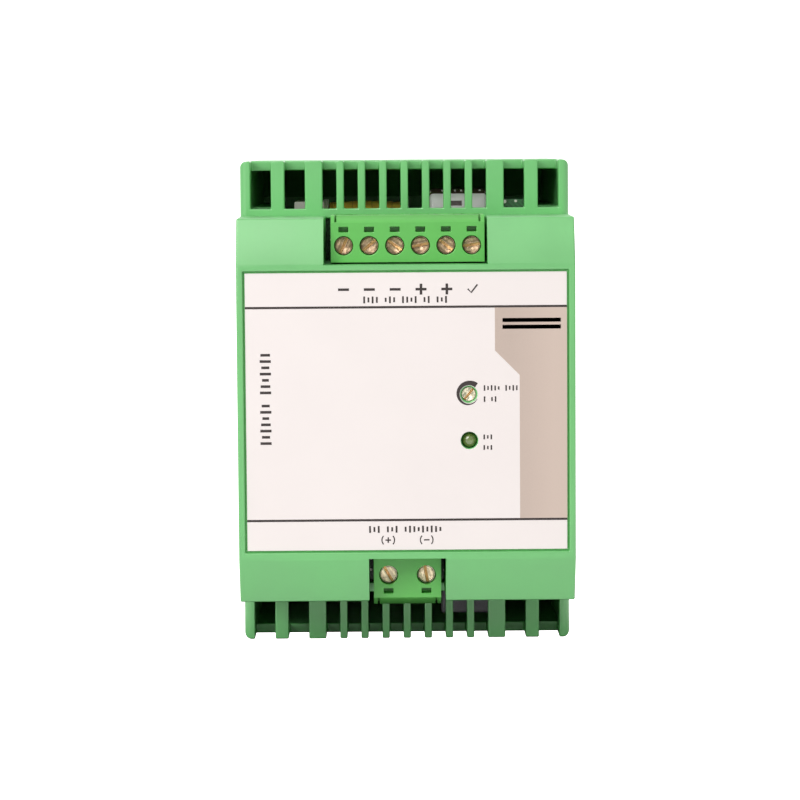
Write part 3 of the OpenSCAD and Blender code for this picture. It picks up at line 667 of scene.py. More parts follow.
HOUSING_GREEN = srgb(104, 192, 109)
HOUSING = MouldedPlastic("housing_plastic", HOUSING_GREEN, 0.44, edge_highlight=1.0, gloss=0.85)
LATCH = MouldedPlastic("latch_plastic", shade(HOUSING_GREEN, 0.78), 0.5, gloss=0.8)
PLUG = MouldedPlastic("plug_plastic", srgb(97, 190, 86), 0.34, grain=0.1 * MM, relief=0.003 * MM)
HEADER = MouldedPlastic("header_plastic", srgb(84, 176, 78), 0.38, grain=0.1 * MM, relief=0.003 * MM)
FILM = LabelFilm("label_film", srgb(247, 242, 238), 0.42)
INK = PrintInk("label_ink", srgb(26, 14, 10), 0.55)
FIELD = PrintedField("label_field", srgb(212, 195, 181), 0.45, dark_x=21 * MM, light_x=29 * MM)
HEAD_TURNS = {"output": (62, 35, -35, 12, -38, 12), "input": (-60, -72)}
SCREW = PlatedMetal("screw_nickel", srgb(214, 198, 182), 0.3, srgb(96, 66, 44), 0.55, (1, 1, 1), 0.12 * MM)
CAGE = PlatedMetal("cage_steel", srgb(196, 196, 192), 0.36, srgb(90, 80, 66), 0.2, (1, 0.15, 1))
CONTACT = PlatedMetal("tinned_contact", srgb(206, 202, 190), 0.32, srgb(120, 104, 78), 0.25, (1, 0.2, 1))
SPRING = PlatedMetal("spring_wire", srgb(176, 176, 172), 0.28, srgb(84, 74, 60), 0.3, (1, 1, 0.2))
TRIMMER = MouldedPlastic("trimmer_case", srgb(44, 92, 160), 0.3)
LENS = LampLens("lamp_lens", srgb(112, 140, 62), 0.18)
MASK = srgb(34, 92, 48)
BOARD_FLAT = BoardLaminate("board_facing_front", MASK, 0.34, shade(MASK, 0.62), flat_axis=1)
BOARD_SIDE = BoardLaminate("board_facing_side", MASK, 0.34, shade(MASK, 0.62), flat_axis=0)
FERRITE = PressedPowder("ferrite", srgb(52, 50, 50), 0.62, 0.35 * MM, 0.03 * MM, 0.3)
BOBBIN = MouldedPlastic("bobbin_plastic", srgb(232, 228, 220), 0.4)
TAPE = WoundTape("winding_tape", srgb(255, 206, 84), 0.3)
RESIN = PressedPowder("chip_resin", srgb(32, 32, 33), 0.55, 0.12 * MM, 0.01 * MM, 0.2)
FILM_CASE = PressedPowder("film_capacitor_case", srgb(150, 140, 156), 0.5, 0.4 * MM, 0.015 * MM, 0.08)
FUSE_CASE = PressedPowder("fuse_case", srgb(84, 62, 50), 0.42, 0.4 * MM, 0.012 * MM, 0.12)
DISC = PressedPowder("disc_coating", srgb(48, 92, 152), 0.4, 0.5 * MM, 0.03 * MM, 0.12)
CHOKE = PressedPowder("choke_coating", srgb(52, 110, 66), 0.45, 0.5 * MM, 0.02 * MM, 0.12)
FIRST_LEG = PrintInk("first_leg_mark", srgb(176, 176, 172), 0.5)
POWDER = PressedPowder("powder_core", srgb(214, 196, 84), 0.5, 0.3 * MM, 0.02 * MM, 0.1)
COPPER = EnamelledWire("enamelled_copper", srgb(196, 116, 60), 0.25)
SINK = PlatedMetal("heat_sink", srgb(188, 190, 192), 0.4, srgb(120, 120, 118), 0.12, (0.06, 1, 1))
SEAL = MouldedPlastic("rubber_seal", srgb(28, 27, 27), 0.7)
CAN_END = PlatedMetal("can_end", srgb(206, 208, 210), 0.3, srgb(130, 130, 128), 0.1)
CARD = StudioCard("studio_card", (0.002, 0.002, 0.002), 0.95)
PAPER = StudioPaper("studio_paper", srgb(252, 252, 251), 0.9)


# ---------------------------------------------------------------------------
# Shaping
# ---------------------------------------------------------------------------


EdgeTest = Callable[[bmesh.types.BMEdge], bool]
ONTO_X = Matrix.Rotation(math.radians(90), 4, "Y")
UPRIGHT = Matrix.Rotation(math.radians(90), 4, "X")
FULL_TURN = 2 * math.pi


def link(name: str, data: bpy.types.ID) -> bpy.types.Object:
    """Makes an object from its data and puts it in the scene.

    Args:
        name: Name of the object.
        data: Its mesh, light or camera.

    Returns:
        The new object.
    """
    item = bpy.data.objects.new(name, data)
    bpy.context.scene.collection.objects.link(item)
    return item


def middle_of(node: str) -> Vector:
    """Middle of a CAD node's box."""
    low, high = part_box(node)
    return (low + high) / 2


class Blank:
    """A mesh in the making, kept as a bmesh until it becomes a piece."""

    def __init__(self) -> None:
        """Starts an empty mesh with a face mask for rounded edges."""
        self.mesh = bmesh.new()
        self.rounded = self.mesh.faces.layers.float.new("rounded")

    @classmethod
    def of_node(cls, node: str) -> "Blank":
        """Copies a CAD node's mesh, joins its loose triangles and clears its flat faces.

        Args:
            node: Name of the CAD node.

        Returns:
            The copy, ready to be worked on.
        """
        blank = cls()
        blank.mesh.from_mesh(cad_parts[node].data)
        layers = blank.mesh.faces.layers.float
        blank.rounded = layers.get("rounded") or layers.new("rounded")
        bmesh.ops.remove_doubles(blank.mesh, verts=blank.mesh.verts, dist=0.0005 * MM)
        bmesh.ops.dissolve_limit(
            blank.mesh, angle_limit=math.radians(0.4), verts=blank.mesh.verts, edges=blank.mesh.edges
        )
        return blank

    def box(self, low: Sequence[float], high: Sequence[float]) -> "Blank":
        """Adds a box between two corners."""
        centre = (Vector(low) + Vector(high)) / 2
        size = Vector(high) - Vector(low)
        place = Matrix.Translation(centre) @ Matrix.Diagonal((*size, 1))
        bmesh.ops.create_cube(self.mesh, size=1, matrix=place)
        return self

    def since(self, start: int) -> list[bmesh.types.BMVert]:
        """Lists the points made since the mesh had a number of them."""
        self.mesh.verts.ensure_lookup_table()
        return list(self.mesh.verts)[start:]

    def disc(self, centre: Sequence[float], radius: float, length: float, sides: int = 48) -> "Blank":
        """Adds a round bar that starts at a centre and runs along X.

        Args:
            centre: Middle of its first end.
            radius: Its radius.
            length: Its length.
            sides: Number of sides.

        Returns:
            The blank itself.
        """
        place = Matrix.Translation(centre) @ ONTO_X @ Matrix.Translation((0, 0, length / 2))
        bmesh.ops.create_cone(
            self.mesh, cap_ends=True, segments=sides, radius1=radius, radius2=radius, depth=length,
            matrix=place,
        )
        return self

    def lathe(self, profile: Sequence[Flat], centre: Sequence[float], steps: int = 64) -> "Blank":
        """Turns a profile of radius and length round a line along X.

        Args:
            profile: Points of radius and distance along the line.
            centre: The point where the distance is nought.
            steps: Number of steps in a full turn.

        Returns:
            The blank itself.
        """
        start = len(self.mesh.verts)
        points = [self.mesh.verts.new((radius, 0, along)) for radius, along in profile]
        edges = [self.mesh.edges.new(pair) for pair in zip(points, points[1:])]
        bmesh.ops.spin(
            self.mesh, geom=points + edges, cent=(0, 0, 0), axis=(0, 0, 1), angle=FULL_TURN, steps=steps,
            use_merge=True, use_duplicate=False,
        )
        bmesh.ops.remove_doubles(self.mesh, verts=self.since(start), dist=0.001 * MM)
        place = Matrix.Translation(centre) @ ONTO_X
        bmesh.ops.transform(self.mesh, matrix=place, verts=self.since(start))
        return self

    def plate(self, outline: Sequence[Flat], y_front: float, thickness: float) -> "Blank":
        """Adds a flat plate that faces the front.

        Args:
            outline: Its corners, as X and Z.
            y_front: Depth of its front face.
            thickness: Its thickness.

        Returns:
            The blank itself.
        """
        points = [self.mesh.verts.new((x, y_front + thickness, z)) for x, z in outline]
        face = self.mesh.faces.new(points)
        grown = bmesh.ops.extrude_face_region(self.mesh, geom=[face])
        moved = [item for item in grown["geom"] if isinstance(item, bmesh.types.BMVert)]
        bmesh.ops.translate(self.mesh, verts=moved, vec=(0, -thickness, 0))
        return self

    def wire_end(self, radius: float, wire: float, sides: int) -> list[bmesh.types.BMElem]:
        """Adds the round outline of a wire, upright and off the Z axis, ready to be spun round it.

        Args:
            radius: Distance of the wire's middle from the axis.
            wire: Radius of the wire.
            sides: Number of sides.

        Returns:
            Its points and edges.
        """
        place = Matrix.Translation((radius, 0, 0)) @ UPRIGHT
        ring = bmesh.ops.create_circle(self.mesh, cap_ends=False, segments=sides, radius=wire, matrix=place)
        points = ring["verts"]
        return points + list({edge for vert in points for edge in vert.link_edges})

    def coil(
        self, centre: Sequence[float], radius: float, wire: float, length: float, turns: float
    ) -> "Blank":
        """Adds a spiral of round wire along Z, with closed ends.

        Args:
            centre: Middle of the spiral's lower end.
            radius: Radius of the spiral, to the wire's middle.
            wire: Radius of the wire.
            length: Length between the middles of the two ends.
            turns: Number of turns.

        Returns:
            The blank itself.
        """
        start = len(self.mesh.verts)
        sides = 14
        steps = round(turns * 36)
        bmesh.ops.spin(
            self.mesh, geom=self.wire_end(radius, wire, sides), cent=(0, 0, 0), axis=(0, 0, 1),
            angle=FULL_TURN * turns, steps=steps, dvec=(0, 0, length / steps), use_merge=False,
            use_duplicate=False,
        )
        ends = [edge for edge in self.mesh.edges if edge.is_boundary]
        bmesh.ops.holes_fill(self.mesh, edges=ends, sides=sides)
        bmesh.ops.translate(self.mesh, verts=self.since(start), vec=centre)
        return self

    @staticmethod
    def room(edge: bmesh.types.BMEdge) -> float:
        """Widest rounding that an edge can take without eating into its neighbours.

        Args:
            edge: The edge to measure.

        Returns:
            The width, held by the crossing edges and by the radius of the curve that it belongs to.
        """
        best = 1.0
        for other in {near for face in edge.link_faces for near in face.edges if near is not edge}:
            shared = [vert for vert in other.verts if vert in edge.verts]
            if not shared:
                continue
            here = edge.other_vert(shared[0]).co - shared[0].co
            there = other.other_vert(shared[0]).co - shared[0].co
            if min(here.length, there.length) < 0.0001 * MM:
                return 0.0
            turn = math.pi - here.angle(there)
            if turn > math.radians(32):
                best = min(best, there.length / 2.15 / max(math.sin(min(turn, math.pi / 2)), 0.3))
            elif turn > math.radians(1.5):
                best = min(best, 0.45 * min(here.length, there.length) / turn)
        return best

    def mark_groove(self, face_y: float) -> "Blank":
        """Masks the faces of a slot that is cut into a head facing the front.

        Args:
            face_y: Depth of the head's face.

        Returns:
            The blank itself.
        """
        layer = self.mesh.faces.layers.float.new("groove")
        for face in self.mesh.faces:
            middle = face.calc_center_median()
            long_edges = [edge for edge in face.edges if edge.calc_length() > 1 * MM]
            inward = all(edge.is_boundary or not edge.is_convex for edge in long_edges)
            if 0.02 * MM < middle.y - face_y < 1.3 * MM and inward:
                face[layer] = 1.0
        return self

    def loops(
        self, centre: Sequence[float], ring: float, radius: float, wire: float, angles: Sequence[float]
    ) -> "Blank":
        """Adds turns of round wire round a ring core whose axis is X.

        Args:
            centre: Middle of the ring.
            ring: Radius of the ring, to the middle of its section.
            radius: Radius of a turn, to the wire's middle.
            wire: Radius of the wire.
            angles: Where the turns sit round the ring, from Y towards Z.

        Returns:
            The blank itself.
        """
        for angle in angles:
            start = len(self.mesh.verts)
            bmesh.ops.spin(
                self.mesh, geom=self.wire_end(radius, wire, 10), cent=(0, 0, 0), axis=(0, 0, 1),
                angle=FULL_TURN, steps=28, use_merge=True, use_duplicate=False,
            )
            place = Matrix.Translation(centre) @ Matrix.Rotation(angle, 4, "X")
            place = place @ Matrix.Translation((0, ring, 0))
            bmesh.ops.transform(self.mesh, matrix=place, verts=self.since(start))
        return self

    def round_edges(
        self, width: float, segments: int = 3, test: Optional[EdgeTest] = None, trusted: bool = False
    ) -> "Blank":
        """Rounds the sharp edges that pass a test, and masks the new faces.

        Args:
            width: Width of the rounding.
            segments: Number of steps across it.
            test: Which edges to take; all sharp ones by default.
            trusted: Whether the test alone decides, without a look at the room round an edge.

        Returns:
            The blank itself.
        """
        sharp = math.radians(28)
        edges = [
            edge
            for edge in self.mesh.edges
            if len(edge.link_faces) == 2
            and edge.calc_face_angle(0) > sharp
            and (test is None or test(edge))
            and (trusted or self.room(edge) >= width)
        ]
        if edges:
            made = bmesh.ops.bevel(
                self.mesh, geom=edges, offset=width, offset_type="OFFSET", segments=segments, profile=0.5,
                affect="EDGES", material=-1, clamp_overlap=False,
            )
            for face in made["faces"]:
                face[self.rounded] = 1.0
        return self

    def to_data(self, name: str, finish: Finish) -> bpy.types.Mesh:
        """Turns the blank into a finished mesh, and ends the blank.

        Args:
            name: Name of the mesh.
            finish: Its finish.

        Returns:
            The new mesh.
        """
        data = bpy.data.meshes.new(name)
        self.mesh.to_mesh(data)
        self.mesh.free()
        data.materials.clear()
        data.materials.append(finish.material())
        return data

    def piece(
        self, name: str, finish: Finish, body: str, slot: str, nodes: Sequence[str] = (), flat: bool = False
    ) -> bpy.types.Object:
        """Turns the blank into a finished piece that rides on a body.

        Args:
            name: Name of the piece.
            finish: Its finish.
            body: The CAD body that it moves with.
            slot: The record's material slot; not used.
            nodes: The CAD nodes that it stands for.
            flat: Whether its faces stay flat-shaded.

        Returns:
            The new object.
        """
        bmesh.ops.recalc_face_normals(self.mesh, faces=self.mesh.faces)
        data = self.to_data(name, finish)
        if flat:
            data.shade_flat()
        else:
            data.shade_smooth()
            data.set_sharp_from_angle(angle=math.radians(38))
        item = link(name, data)
        if not flat:
            even = item.modifiers.new("even_normals", "WEIGHTED_NORMAL")
            even.keep_sharp = True
        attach(item, body)
        if nodes:
            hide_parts(*nodes)
        LOG.info("%s: %d faces on %s", name, len(data.polygons), body)
        return item


def soften_node(
    node: str,
    finish: Finish,
    body: str,
    slot: str,
    width: float,
    segments: int = 3,
    test: Optional[EdgeTest] = None,
) -> bpy.types.Object:
    """Makes the finished piece of a CAD node whose own shape is right, with rounded edges.

    Args:
        node: Name of the CAD node.
        finish: The piece's finish.
        body: The body that it moves with.
        slot: The record's material slot.
        width: Width of the rounding.
        segments: Number of steps across the rounding.
        test: Which edges are rounded.

    Returns:
        The new object.
    """
    blank = Blank.of_node(node).round_edges(width, segments, test)
    return blank.piece(f"{node}_shaped", finish, body, slot, [node])


def build_head(
    node: str, slot: str, roughness: float, width: float, look: dict[str, object], margin: float = 0.0
) -> bpy.types.Object:
    """Makes the finished piece of a slotted screw or rotor that faces the front and rides on itself.

    Args:
        node: Name of the CAD node, which is also its body.
        slot: The record's material slot.
        roughness: Mean roughness of the metal.
        width: Width of the rounding.
        look: The other fields of its finish.
        margin: How far the painted shadow ring at the rim lies outside its head.

    Returns:
        The new object.
    """
    low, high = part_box(node)
    middle = middle_of(node)
    radius = (high.x - low.x) / 2 + margin
    centre = (middle.x, middle.z)
    finish = TurnedHead(f"{node}_metal", roughness=roughness, centre=centre, radius=radius, **look)
    blank = Blank.of_node(node).mark_groove(low.y).round_edges(width, 2)
    return blank.piece(f"{node}_shaped", finish, node, slot, [node])


def islands(node: str) -> list[tuple[Vector, Vector]]:
    """Finds the separate bodies of a CAD node.

    Args:
        node: Name of the CAD node.

    Returns:
        The lowest and highest corner of each body.
    """
    mesh = Blank.of_node(node).mesh
    left = set(mesh.verts)
    found = []
    while left:
        reach = [left.pop()]
        body = []
        while reach:
            vert = reach.pop()
            body.append(vert.co)
            near = {edge.other_vert(vert) for edge in vert.link_edges} & left
            left -= near
            reach.extend(near)
        corners = [[pick(point[axis] for point in body) for axis in range(3)] for pick in (min, max)]
        found.append((Vector(corners[0]), Vector(corners[1])))
    mesh.free()
    return sorted(found, key=lambda box: tuple(box[0]))


# ---------------------------------------------------------------------------
# Sub-assemblies
# ---------------------------------------------------------------------------

ROOT = "housing"


@dataclass
class Housing:
    """The two shells and the printed label.

    Attributes:
        edge: Width of the rounding on the edges.
        corner: Width of the rounding on the base's four long corners.
        front_part: Length of the base, from its front, on which every edge is rounded.
    """

    edge: float = 0.3 * MM
    corner: float = 1.35 * MM
    front_part: float = 15 * MM

    def build(self) -> None:
        """Builds the base, the nose and the label's film."""
        low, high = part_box("base_housing")
        near = 0.1 * MM

        def is_corner(edge: bmesh.types.BMEdge) -> bool:
            """Tells whether an edge runs along one of the base's long outer corners."""
            far = [(abs(vert.co.x), abs(vert.co.z)) for vert in edge.verts]
            return all(x > high.x - near and z > high.z - near for x, z in far)

        def is_open(edge: bmesh.types.BMEdge) -> bool:
            """Tells whether an edge lies on the front half or on the outside of the base."""
            front = all(vert.co.y < low.y + self.front_part for vert in edge.verts)
            side = all(abs(vert.co.x) > high.x - near / 2 for vert in edge.verts)
            return front or side

        base = Blank.of_node("base_housing").round_edges(self.corner, 6, is_corner, True)
        base.round_edges(self.edge, 3, is_open)
        base.piece("base_housing_shaped", HOUSING, ROOT, "housing_plastic", ["base_housing"])
        soften_node("front_housing", HOUSING, ROOT, "housing_plastic", self.edge)
        soften_node("front_label", FILM, ROOT, "label_film", 0.08 * MM, 2)


@dataclass
class LabelPrint:
    """Everything printed on the label: rules, a grey field and plain signs.

    Attributes:
        thickness: Thickness of the ink.
        rule: Thickness of the two rules.
        upper_rule: Height of the upper rule's middle.
        lower_rule: Height of the lower rule's middle.
        field_left: Left side of the grey field's upper part.
        field_step: How far its lower part steps to the right.
        field_bend: Height at which the step begins.
        sign: Width of a polarity sign.
        stroke: Thickness of its strokes.
    """

    thickness: float = 0.03 * MM
    rule: float = 0.44 * MM
    upper_rule: float = 20.8 * MM
    lower_rule: float = -21.4 * MM
    field_left: float = 17.5 * MM
    field_step: float = 4.85 * MM
    field_bend: float = 12.1 * MM
    sign: float = 2.15 * MM
    stroke: float = 0.5 * MM

    def __post_init__(self) -> None:
        """Reads the label's place from the frame."""
        low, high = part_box("front_label")
        self.left = low.x
        self.right = high.x
        self.face = low.y - self.thickness
        self.lamp_x = middle_of("status_lamp").x

    def bar(self, blank: Blank, x: float, z: float, width: float, height: float) -> None:
        """Adds a rectangle of ink round a middle point."""
        corners = [(x - width / 2, z - height / 2), (x + width / 2, z - height / 2)]
        corners += [(x + width / 2, z + height / 2), (x - width / 2, z + height / 2)]
        blank.plate(corners, self.face, self.thickness)

    def plus(self, blank: Blank, x: float, z: float, size: float, stroke: float) -> None:
        """Adds a plus sign as one cross-shaped plate."""
        arm = size / 2
        half = stroke / 2
        quarter = [(arm, -half), (arm, half), (half, half)]
        outline: list[Flat] = []
        for turn in range(4):
            for along, up in quarter:
                for _ in range(turn):
                    along, up = -up, along
                outline.append((x + along, z + up))
        blank.plate(outline, self.face, self.thickness)

    def ribbon(self, blank: Blank, path: Sequence[Flat], widths: Sequence[float]) -> None:
        """Adds a stroke along a path, as wide at each point as its width says."""
        left: list[Flat] = []
        right: list[Flat] = []
        for index, (x, z) in enumerate(path):
            before = Vector(path[max(index - 1, 0)])
            after = Vector(path[min(index + 1, len(path) - 1)])
            side = (after - before).normalized().orthogonal() * widths[index] / 2
            left.append((x + side.x, z + side.y))
            right.append((x - side.x, z - side.y))
        blank.plate(left + right[::-1], self.face, self.thickness)

    def tick(self, blank: Blank, x: float, z: float, size: float) -> None:
        """Adds a check mark."""
        path = [(x - 0.5 * size, z), (x - 0.15 * size, z - 0.38 * size), (x + 0.5 * size, z + 0.45 * size)]
        self.ribbon(blank, path, [0.16 * size] * 3)

    def ink(self, blank: Blank, name: str, finish: Finish = INK) -> None:
        """Turns printed shapes into a piece on the label."""
        blank.piece(name, finish, ROOT, "label_film", flat=True)

    def build(self) -> None:
        """Prints the rules, the field, the signs, the strokes and the trimmer's wedge."""
        self.print_rules()
        self.print_field()
        self.print_signs()
        self.print_symbols()
        self.print_wedge()

    def print_rules(self) -> None:
        """Prints the two rules across the label."""
        rules = Blank()
        middle = (self.left + self.right) / 2
        for height in (self.upper_rule, self.lower_rule):
            self.bar(rules, middle, height, self.right - self.left, self.rule)
        self.ink(rules, "label_rules")

    def print_field(self) -> None:
        """Prints the grey field between the rules."""
        top = self.upper_rule - self.rule / 2
        bottom = self.lower_rule + self.rule / 2
        inner = self.field_left + self.field_step
        outline = [(self.field_left, top), (self.field_left, self.field_bend)]
        outline += [(inner, self.field_bend - self.field_step), (inner, bottom)]
        outline += [(self.right, bottom), (self.right, top)]
        field = Blank().plate(outline, self.face, self.thickness)
        self.ink(field, "label_grey_field", FIELD)

    def print_signs(self) -> None:
        """Prints the polarity signs under the output poles and over the input poles."""
        signs = Blank()
        height = 24.3 * MM
        for pole in range(1, 7):
            x = middle_of(f"output_screw_{pole}").x
            if pole <= 3:
                self.bar(signs, x, height, self.sign, self.stroke)
            elif pole <= 5:
                self.plus(signs, x, height, self.sign, self.stroke)
            else:
                self.tick(signs, x, height, 1.9 * MM)
        for pole, is_plus in ((1, True), (2, False)):
            self.ring_sign(signs, middle_of(f"input_screw_{pole}").x, -25.4 * MM, is_plus)
        self.ink(signs, "label_signs")

    def ring_sign(self, blank: Blank, x: float, z: float, is_plus: bool) -> None:
        """Adds a plus or minus between two round brackets."""
        radius = 1.25 * MM
        for side in (0, math.pi):
            turns = [side + math.radians(-42 + 12 * step) for step in range(8)]
            path = [(x + radius * math.cos(a), z + radius * math.sin(a)) for a in turns]
            self.ribbon(blank, path, [0.22 * MM] * len(path))
        if is_plus:
            self.plus(blank, x, z, 1.1 * MM, 0.26 * MM)
        else:
            self.bar(blank, x, z, 1.1 * MM, 0.26 * MM)

    def strokes(
        self, blank: Blank, start: Flat, words: Sequence[int], size: Flat, upright: bool = False
    ) -> None:
        """Adds rows of plain upright strokes, which stand where lettering would be.

        Args:
            blank: The ink to add to.
            start: Where the first stroke begins, at its middle height.
            words: Number of strokes in each group.
            size: Height of a stroke and the distance from one to the next.
            upright: Whether the row climbs the label in place of crossing it.
        """
        height, pitch = size
        place = 0.0
        count = 0
        for word in words:
            for _ in range(word):
                tall = height * (1.0, 0.72, 1.0, 0.86, 0.6)[count % 5]
                if upright:
                    self.bar(blank, start[0], start[1] + place, tall, 0.42 * pitch)
                else:
                    self.bar(blank, start[0] + place, start[1], 0.42 * pitch, tall)
                place += pitch
                count += 1
            place += 1.1 * pitch

    def print_symbols(self) -> None:
        """Prints groups of plain strokes where lettering would be, and stacked bars at the top right."""
        symbols = Blank()
        self.strokes(symbols, (-8.2 * MM, 22.25 * MM), (4, 3, 4, 2, 3), (1.35 * MM, 0.83 * MM))
        self.strokes(symbols, (-7.4 * MM, -23.25 * MM), (3, 3, 9), (1.35 * MM, 0.86 * MM))
        length = 11.5 * MM
        for height in (18.1 * MM, 16.75 * MM):
            self.bar(symbols, self.right - 1.2 * MM - length / 2, height, length, 0.8 * MM)
        self.strokes(symbols, (-27.8 * MM, -6.0 * MM), (7, 7), (2.2 * MM, 1.24 * MM), True)
        beside = self.lamp_x + 3.0 * MM
        for height in (-5.0 * MM, -7.1 * MM):
            self.strokes(symbols, (beside - 0.1 * MM, height), (3,), (0.95 * MM, 0.7 * MM))
        for height, words in ((4.7 * MM, (5, 4)), (2.5 * MM, (1, 2))):
            self.strokes(symbols, (beside, height), words, (1.1 * MM, 0.7 * MM))
        self.ink(symbols, "label_symbols")

    def print_wedge(self) -> None:
        """Prints the growing wedge round the trimmer."""
        centre = middle_of("trimmer_rotor")
        wedge = Blank()
        steps = 40
        inner = 1.83 * MM
        path: list[Flat] = []
        widths: list[float] = []
        for step in range(steps + 1):
            angle = math.radians(-30 - 280 * step / steps)
            width = (0.08 + 0.95 * step / steps) * MM
            reach = inner + width / 2
            path.append((centre.x + reach * math.cos(angle), centre.z + reach * math.sin(angle)))
            widths.append(width)
        self.ribbon(wedge, path, widths)
        self.ink(wedge, "label_wedge")


class Side(Enum):
    """The two plugs, with their number of poles."""

    OUTPUT = ("output", 6)
    INPUT = ("input", 2)

    @property
    def word(self) -> str:
        """First word of the plug's node names."""
        return self.value[0]

    @property
    def poles(self) -> int:
        """Number of its poles."""
        return self.value[1]


@dataclass
class TerminalPlug:
    """One pluggable terminal strip with its header, screws and cages.

    Attributes:
        side: Which of the two plugs it is.
        edge: Width of the rounding on the plug's edges.
    """

    side: Side
    edge: float = 0.14 * MM

    def build(self) -> None:
        """Builds the plug, its header and the metal parts of each pole."""
        word = self.side.word
        plug = f"{word}_plug"
        low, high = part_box(plug)
        margin = 1.3 * MM

        def clear(edge: bmesh.types.BMEdge) -> bool:
            """Tells whether an edge keeps away from the thin notches at the two ends."""
            return all(low.x + margin < vert.co.x < high.x - margin for vert in edge.verts)

        def straight(edge: bmesh.types.BMEdge) -> bool:
            """Tells whether an edge is an outer one and not part of a round hole's rim."""
            return edge.is_convex and edge.calc_length() > 0.3 * MM

        soften_node(plug, PLUG, plug, "plug_plastic", self.edge, 2, clear)
        soften_node(f"{word}_contacts", CONTACT, plug, "contact_metal", 0.05 * MM, 1)
        soften_node(f"{word}_header", HEADER, ROOT, "plug_plastic", self.edge, 2)
        soften_node(f"{word}_header_pins", CONTACT, ROOT, "contact_metal", 0.12 * MM, 2)
        for pole in range(1, self.side.poles + 1):
            self.build_screw(f"{word}_screw_{pole}", pole)
            cage = f"{word}_cage_{pole}"
            soften_node(cage, CAGE, cage, "cage_metal", 0.12 * MM, 2, straight)

    def build_screw(self, node: str, pole: int) -> None:
        """Builds one clamping screw; the input side's are newer and brighter.

        Args:
            node: Name of the screw's node, which is also its body.
            pole: Number of the pole, which sets the look of its wear.
        """
        turn = math.radians(HEAD_TURNS[self.side.word][pole - 1])
        look = {"tarnish": srgb(104, 74, 50), "slot_turn": turn}
        if self.side is Side.INPUT:
            look |= {"colour": srgb(236, 212, 184), "stain": 0.35, "reflection_streak": 0.85}
        else:
            look |= {"colour": srgb(196, 166, 138), "stain": 0.75 + 0.08 * (pole % 3)}
        build_head(node, "screw_metal", 0.3, 0.07 * MM, look)


@dataclass
class Indicators:
    """The voltage trimmer and the status lamp behind the label."""

    def build(self) -> None:
        """Builds the trimmer's case and rotor, and the lamp."""
        soften_node("trimmer_body", TRIMMER, ROOT, "trimmer_plastic", 0.2 * MM)
        look = {
            "colour": srgb(206, 200, 176), "tarnish": srgb(96, 100, 72), "stain": 0.5,
            "slot_turn": math.radians(50),
        }
        build_head("trimmer_rotor", "rotor_metal", 0.28, 0.06 * MM, look, 0.1 * MM)
        soften_node("status_lamp", LENS, ROOT, "lamp_lens", 0.06 * MM, 2)


@dataclass
class RailFoot:
    """The sliding foot latch and the spring that closes it.

    Attributes:
        wire: Radius of the spring's wire.
        turns: Number of its turns.
    """

    wire: float = 0.26 * MM
    turns: float = 7.0

    def build(self) -> None:
        """Builds the latch and winds its spring."""
        soften_node("foot_latch", LATCH, "foot_latch", "latch_plastic", 0.3 * MM)
        low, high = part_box("latch_spring")
        radius = (high.x - low.x) / 2 - self.wire
        middle = (low + high) / 2
        centre = (middle.x, middle.y, low.z + self.wire)
        length = high.z - low.z - 2 * self.wire
        blank = Blank().coil(centre, radius, self.wire, length, self.turns)
        spring = blank.piece("latch_spring_wound", SPRING, ROOT, "spring_steel", ["latch_spring"])
        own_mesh(spring)


@dataclass
class Boards:
    """The four circuit boards and the pins between them."""

    def build(self) -> None:
        """Builds each board with a hair of rounding on its edges."""
        for node, finish in (
            ("connector_board", BOARD_FLAT),
            ("indicator_board", BOARD_FLAT),
            ("primary_board", BOARD_SIDE),
            ("secondary_board", BOARD_SIDE),
        ):
            soften_node(node, finish, ROOT, "board_laminate", 0.1 * MM, 1)
        soften_node("board_link_pins", CONTACT, ROOT, "contact_metal", 0.06 * MM, 1)


@dataclass
class Transformer:
    """The switching transformer: core, bobbin and taped winding.

    Attributes:
        layers: Number of steps that the tape's edges make along the winding.
    """

    layers: int = 7

    def build(self) -> None:
        """Builds the core and the bobbin, and winds the tape."""
        soften_node("transformer_core", FERRITE, ROOT, "ferrite", 0.5 * MM)
        soften_node("transformer_bobbin", BOBBIN, ROOT, "bobbin_plastic", 0.2 * MM, 2)
        low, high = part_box("transformer_winding")
        radius = (high.z - low.z) / 2
        length = high.x - low.x
        inner = 0.45 * radius
        step = length / self.layers
        profile = [(inner, 0.0), (radius - 0.9 * MM, 0.0)]
        for layer in range(self.layers):
            swell = 0.35 * MM * math.sin(math.pi * (layer + 0.5) / self.layers)
            top = radius - 0.4 * MM + swell
            profile += [(top, layer * step + 0.25 * MM), (top + 0.05 * MM, (layer + 1) * step - 0.15 * MM)]
        profile += [(radius - 0.9 * MM, length), (inner, length), (inner, 0.0)]
        centre = (low.x, (low.y + high.y) / 2, (low.z + high.z) / 2)
        winding = Blank().lathe(profile, centre, 96)
        winding.piece("transformer_winding_taped", TAPE, ROOT, "winding_tape", ["transformer_winding"])


